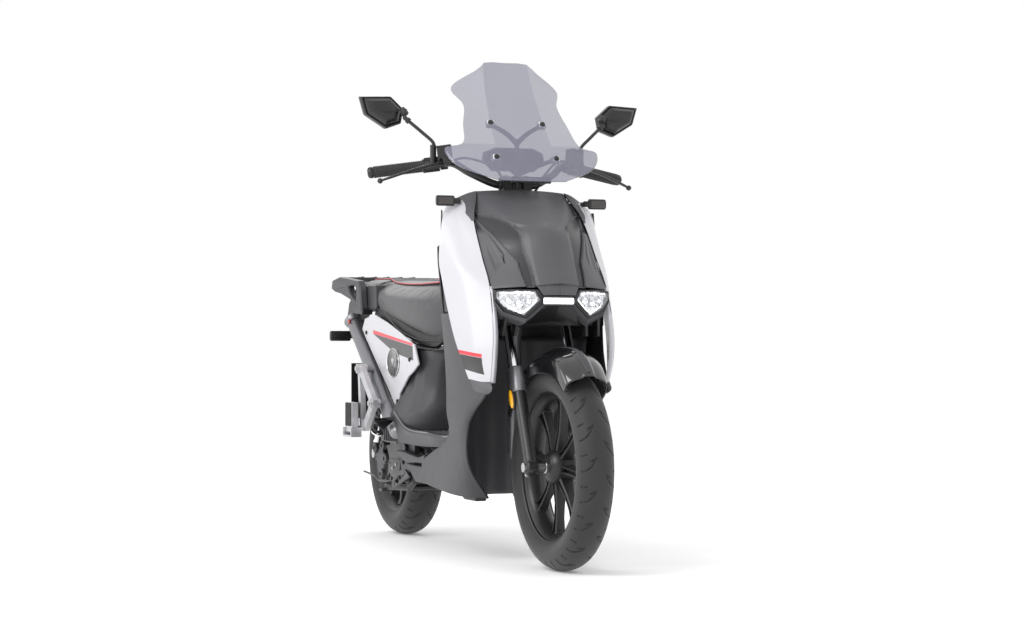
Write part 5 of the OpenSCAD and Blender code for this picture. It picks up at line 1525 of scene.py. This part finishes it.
def build_rear_end():
    """Shock absorbers with coil springs, stand springs and folding pegs."""
    way = Vector(joint_of("shock_travel")["axis"]).normalized()
    if way.z > 0:
        way = -way
    low, high = corners("shock_springs")
    centre = Vector((SHOCK_X, (low.y + high.y) / 2, (low.z + high.z) / 2))
    span = (high.z - low.z - 2 * 24 * math.hypot(way.x, way.y)) / abs(way.z)
    top = centre - way * (span / 2)
    for side in (-1, 1):
        start = Vector((side * SHOCK_X, top.y, top.z))
        u = way.cross(Vector((1, 0, 0))).normalized()
        v = Vector((1, 0, 0))
        turns, points = 9, []
        for k in range(turns * 20 + 1):
            t = k / (turns * 20)
            ease = t + 0.012 * math.sin(math.tau * t)
            a = math.tau * turns * t
            around = (u * math.cos(a) + v * math.sin(a)) * 20.5
            points.append(start + way * (4 + (span - 8) * ease) + around)
        coil = piece(f"coil_{'left' if side > 0 else 'right'}", tube(points, 3.9, 12, 1),
                     finish("powder"),
                     "shock_upper", "shock_springs")
        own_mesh(coil)
    dress(finish("powder"), "shock_bodies", bevel=1.5)
    dress(finish("chrome"), "shock_rods", bevel=0.8)
    wire = tube([(150, 641, 209), (150, 528, 200), (150, 463, 188), (150, 286, 198)], 3.2, 10)
    piece("stand_wires", both(wire), finish("powder"), "chassis")
    for side, body in ((1, "pillion_peg_left"), (-1, "pillion_peg_right")):
        pads = [box((243 if side > 0 else -270, 396 + 11 * k, 364),
                    (270 if side > 0 else -243, 402 + 11 * k, 438))
                for k in range(6)]
        piece(f"{body}_pads", join(*pads), finish("rubber"), body, body, bevel=1.8)
        core = box((side * 256 - 11, 395, 359), (side * 256 + 11, 465, 439))
        lug = turned([(-37, 8), (-35, 9.2), (35, 9.2), (37, 8)], (side * 256, 430, 351), (0, 1, 0), 32)
        tongue = box((side * 256 - 8, 401, 350), (side * 256 + 8, 459, 362))
        piece(f"{body}_core", join(core, lug, tongue), finish("alloy"), body, body,
              bevel=1.5)


# ---- floor, lights and camera ----

def build_stage():
    """Pale floor, even sky, soft lamps and the camera."""
    scene = bpy.context.scene
    world = bpy.data.worlds.new("studio")
    scene.world = world
    world.use_nodes = True
    sky = world.node_tree.nodes["Background"]
    sky.inputs["Color"].default_value = (1, 1, 1, 1)
    sky.inputs["Strength"].default_value = 1.0
    scene.view_settings.view_transform = "Standard"
    mesh = bpy.data.meshes.new("floor")
    mesh.from_pydata([(-30, -30, 0), (30, -30, 0), (30, 30, 0), (-30, 30, 0)], [], [(0, 1, 2, 3)])
    floor = bpy.data.objects.new("floor", mesh)
    scene.collection.objects.link(floor)
    paint = Paint("floor_paint", specular_ior_level=0.1)
    pale = paint.varied((0.93, 0.93, 0.93), 0.004, 0.5)
    mesh.materials.append(paint.set(base_color=pale, emission_color=pale, emission_strength=0.1,
                                    roughness=0.85).material)
    for name, place, aim, size, power in (
            ("key", (-3.4, -2.0, 3.4), (0, 0, 0.6), 2.2, 95),
            ("fill", (3.4, -3.8, 2.6), (0, -0.3, 0.6), 2.0, 6),
            ("back", (0.6, 4.4, 3.6), (0, 0.2, 0.8), 3.0, 50),
            ("strip", (-3.6, 1.0, 1.4), (0, 0.2, 0.6), 1.8, 24)):
        data = bpy.data.lights.new(name, "AREA")
        data.energy, data.size, data.shape = power, size, "SQUARE"
        lamp = bpy.data.objects.new(name, data)
        lamp.location = place
        lamp.rotation_euler = (Vector(aim) - Vector(place)).to_track_quat("-Z", "Y").to_euler()
        scene.collection.objects.link(lamp)
    data = bpy.data.cameras.new("camera")
    data.lens, data.sensor_width = CAMERA_LENS, 36.0
    camera = bpy.data.objects.new("camera", data)
    camera.location = CAMERA_PLACE
    level = math.cos(CAMERA_LIFT)
    look = Vector((math.sin(CAMERA_TURN) * level, math.cos(CAMERA_TURN) * level, math.sin(CAMERA_LIFT)))
    camera.rotation_euler = look.to_track_quat("-Z", "Y").to_euler()
    scene.collection.objects.link(camera)
    scene.camera = camera


# ---- add-on ----

def colour(name, value, description):
    return bpy.props.FloatVectorProperty(name=name, default=value, subtype="COLOR", size=3, min=0,
                                         max=1,
                                         description=description)


class ScooterSettings(bpy.types.PropertyGroup):
    """Sizes and colours of the finished surfaces."""

    relief: bpy.props.FloatProperty(name="Nose relief", default=8.5, min=2, max=12,
                                    description="Depth of the nose panel's channels, in millimetres")
    groove: bpy.props.FloatProperty(name="Tread depth", default=3.2, min=1, max=5,
                                    description="Depth of the tyres' sipes, in millimetres")
    pressure: bpy.props.FloatProperty(name="Foam pressure", default=4.0, min=0.5, max=8,
                                      description="Pressure that fills the seat's padding")
    screen_tint: bpy.props.FloatProperty(name="Screen tint", default=0.55, min=0.05, max=0.8,
                                         subtype="FACTOR",
                                         description="How solid the clear screen is when seen squarely")
    body_colour: colour("Body panels", (0.52, 0.515, 0.545), "Colour of the aprons and side panels")
    fascia_colour: colour("Nose panel", (0.072, 0.072, 0.079), "Colour of the nose panel")
    accent_colour: colour("Accent", (0.62, 0.02, 0.04), "Colour of the stripes and the piping")
    seat_colour: colour("Seat", (0.045, 0.045, 0.05), "Colour of the seat's vinyl")
    screen_colour: colour("Screen", (0.22, 0.22, 0.29), "Colour of the clear screen")


class SCOOTER_OT_front_body(bpy.types.Operator):
    """Nose panel with its channels, side aprons, lower cheeks and the wheel recess."""

    bl_idname = "scooter.front_body"
    bl_label = "Front body"

    def execute(self, context):
        build_front_body()
        return {"FINISHED"}


class SCOOTER_OT_lamps(bpy.types.Operator):
    """Twin headlamps, running-light bar, and front and rear signals."""

    bl_idname = "scooter.lamps"
    bl_label = "Lamps"

    def execute(self, context):
        build_lamps()
        return {"FINISHED"}


class SCOOTER_OT_side_body(bpy.types.Operator):
    """Floor, body below the seat, side panels with badges, tail, grab rail and rear lamp."""

    bl_idname = "scooter.side_body"
    bl_label = "Side body and tail"

    def execute(self, context):
        build_side_body()
        return {"FINISHED"}


class SCOOTER_OT_seat(bpy.types.Operator):
    """Two foam cushions, their black inlay, piping, seams and the hinge side of the pan."""

    bl_idname = "scooter.seat"
    bl_label = "Seat"

    def execute(self, context):
        build_seat()
        return {"FINISHED"}


class SCOOTER_OT_screen(bpy.types.Operator):
    """Clear screen with its wings, and the forked bracket with pads and bolts."""

    bl_idname = "scooter.screen"
    bl_label = "Screen"

    def execute(self, context):
        build_screen()
        return {"FINISHED"}


class SCOOTER_OT_controls(bpy.types.Operator):
    """Handlebar, grips, levers, reservoirs, switches, dash, yokes and hoses."""

    bl_idname = "scooter.controls"
    bl_label = "Controls"

    def execute(self, context):
        build_controls()
        return {"FINISHED"}


class SCOOTER_OT_mirrors(bpy.types.Operator):
    """Six-sided mirror shells with glass, on turning ball joints."""

    bl_idname = "scooter.mirrors"
    bl_label = "Mirrors"

    def execute(self, context):
        build_mirrors()
        return {"FINISHED"}


class SCOOTER_OT_front_wheel(bpy.types.Operator):
    """Tyre with tread, cast rim with paired spokes, hub, spacers, disc bolts and valve."""

    bl_idname = "scooter.front_wheel"
    bl_label = "Front wheel"

    def execute(self, context):
        build_front_wheel()
        return {"FINISHED"}


class SCOOTER_OT_rear_wheel(bpy.types.Operator):
    """Rear tyre, hub-motor shell with cooling ribs and covers, and rim flanges."""

    bl_idname = "scooter.rear_wheel"
    bl_label = "Rear wheel"

    def execute(self, context):
        build_rear_wheel()
        return {"FINISHED"}


class SCOOTER_OT_fork(bpy.types.Operator):
    """Fork tubes, sleeves, axle clamps, mudguard with its raised channel, caliper and reflectors."""

    bl_idname = "scooter.fork"
    bl_label = "Fork and mudguard"

    def execute(self, context):
        build_fork()
        return {"FINISHED"}


class SCOOTER_OT_rear_end(bpy.types.Operator):
    """Shock absorbers with coil springs, stand springs and folding pegs."""

    bl_idname = "scooter.rear_end"
    bl_label = "Rear suspension and pegs"

    def execute(self, context):
        build_rear_end()
        return {"FINISHED"}


class SCOOTER_OT_stage(bpy.types.Operator):
    """Pale floor, even sky, soft lamps and the camera."""

    bl_idname = "scooter.stage"
    bl_label = "Stage"

    def execute(self, context):
        build_stage()
        return {"FINISHED"}


OPERATORS = (SCOOTER_OT_front_body, SCOOTER_OT_lamps, SCOOTER_OT_side_body, SCOOTER_OT_seat,
             SCOOTER_OT_screen, SCOOTER_OT_controls, SCOOTER_OT_mirrors, SCOOTER_OT_front_wheel,
             SCOOTER_OT_rear_wheel, SCOOTER_OT_fork, SCOOTER_OT_rear_end, SCOOTER_OT_stage)


class SCOOTER_PT_panel(bpy.types.Panel):
    """Lists the settings and the groups in the order in which they are built."""

    bl_label = "Scooter"
    bl_space_type = "VIEW_3D"
    bl_region_type = "UI"
    bl_category = "Scooter"

    def draw(self, context):
        for name in ScooterSettings.__annotations__:
            self.layout.prop(context.scene.scooter, name)
        for group in OPERATORS:
            self.layout.operator(group.bl_idname)


CLASSES = [ScooterSettings, *OPERATORS, SCOOTER_PT_panel]


def register():
    for cls in CLASSES:
        bpy.utils.register_class(cls)
    bpy.types.Scene.scooter = bpy.props.PointerProperty(type=ScooterSettings)


def unregister():
    del bpy.types.Scene.scooter
    for cls in reversed(CLASSES):
        bpy.utils.unregister_class(cls)


def main():
    register()
    for group in OPERATORS:
        getattr(bpy.ops.scooter, group.bl_idname.split(".")[1])()


if __name__ == "__main__":
    main()
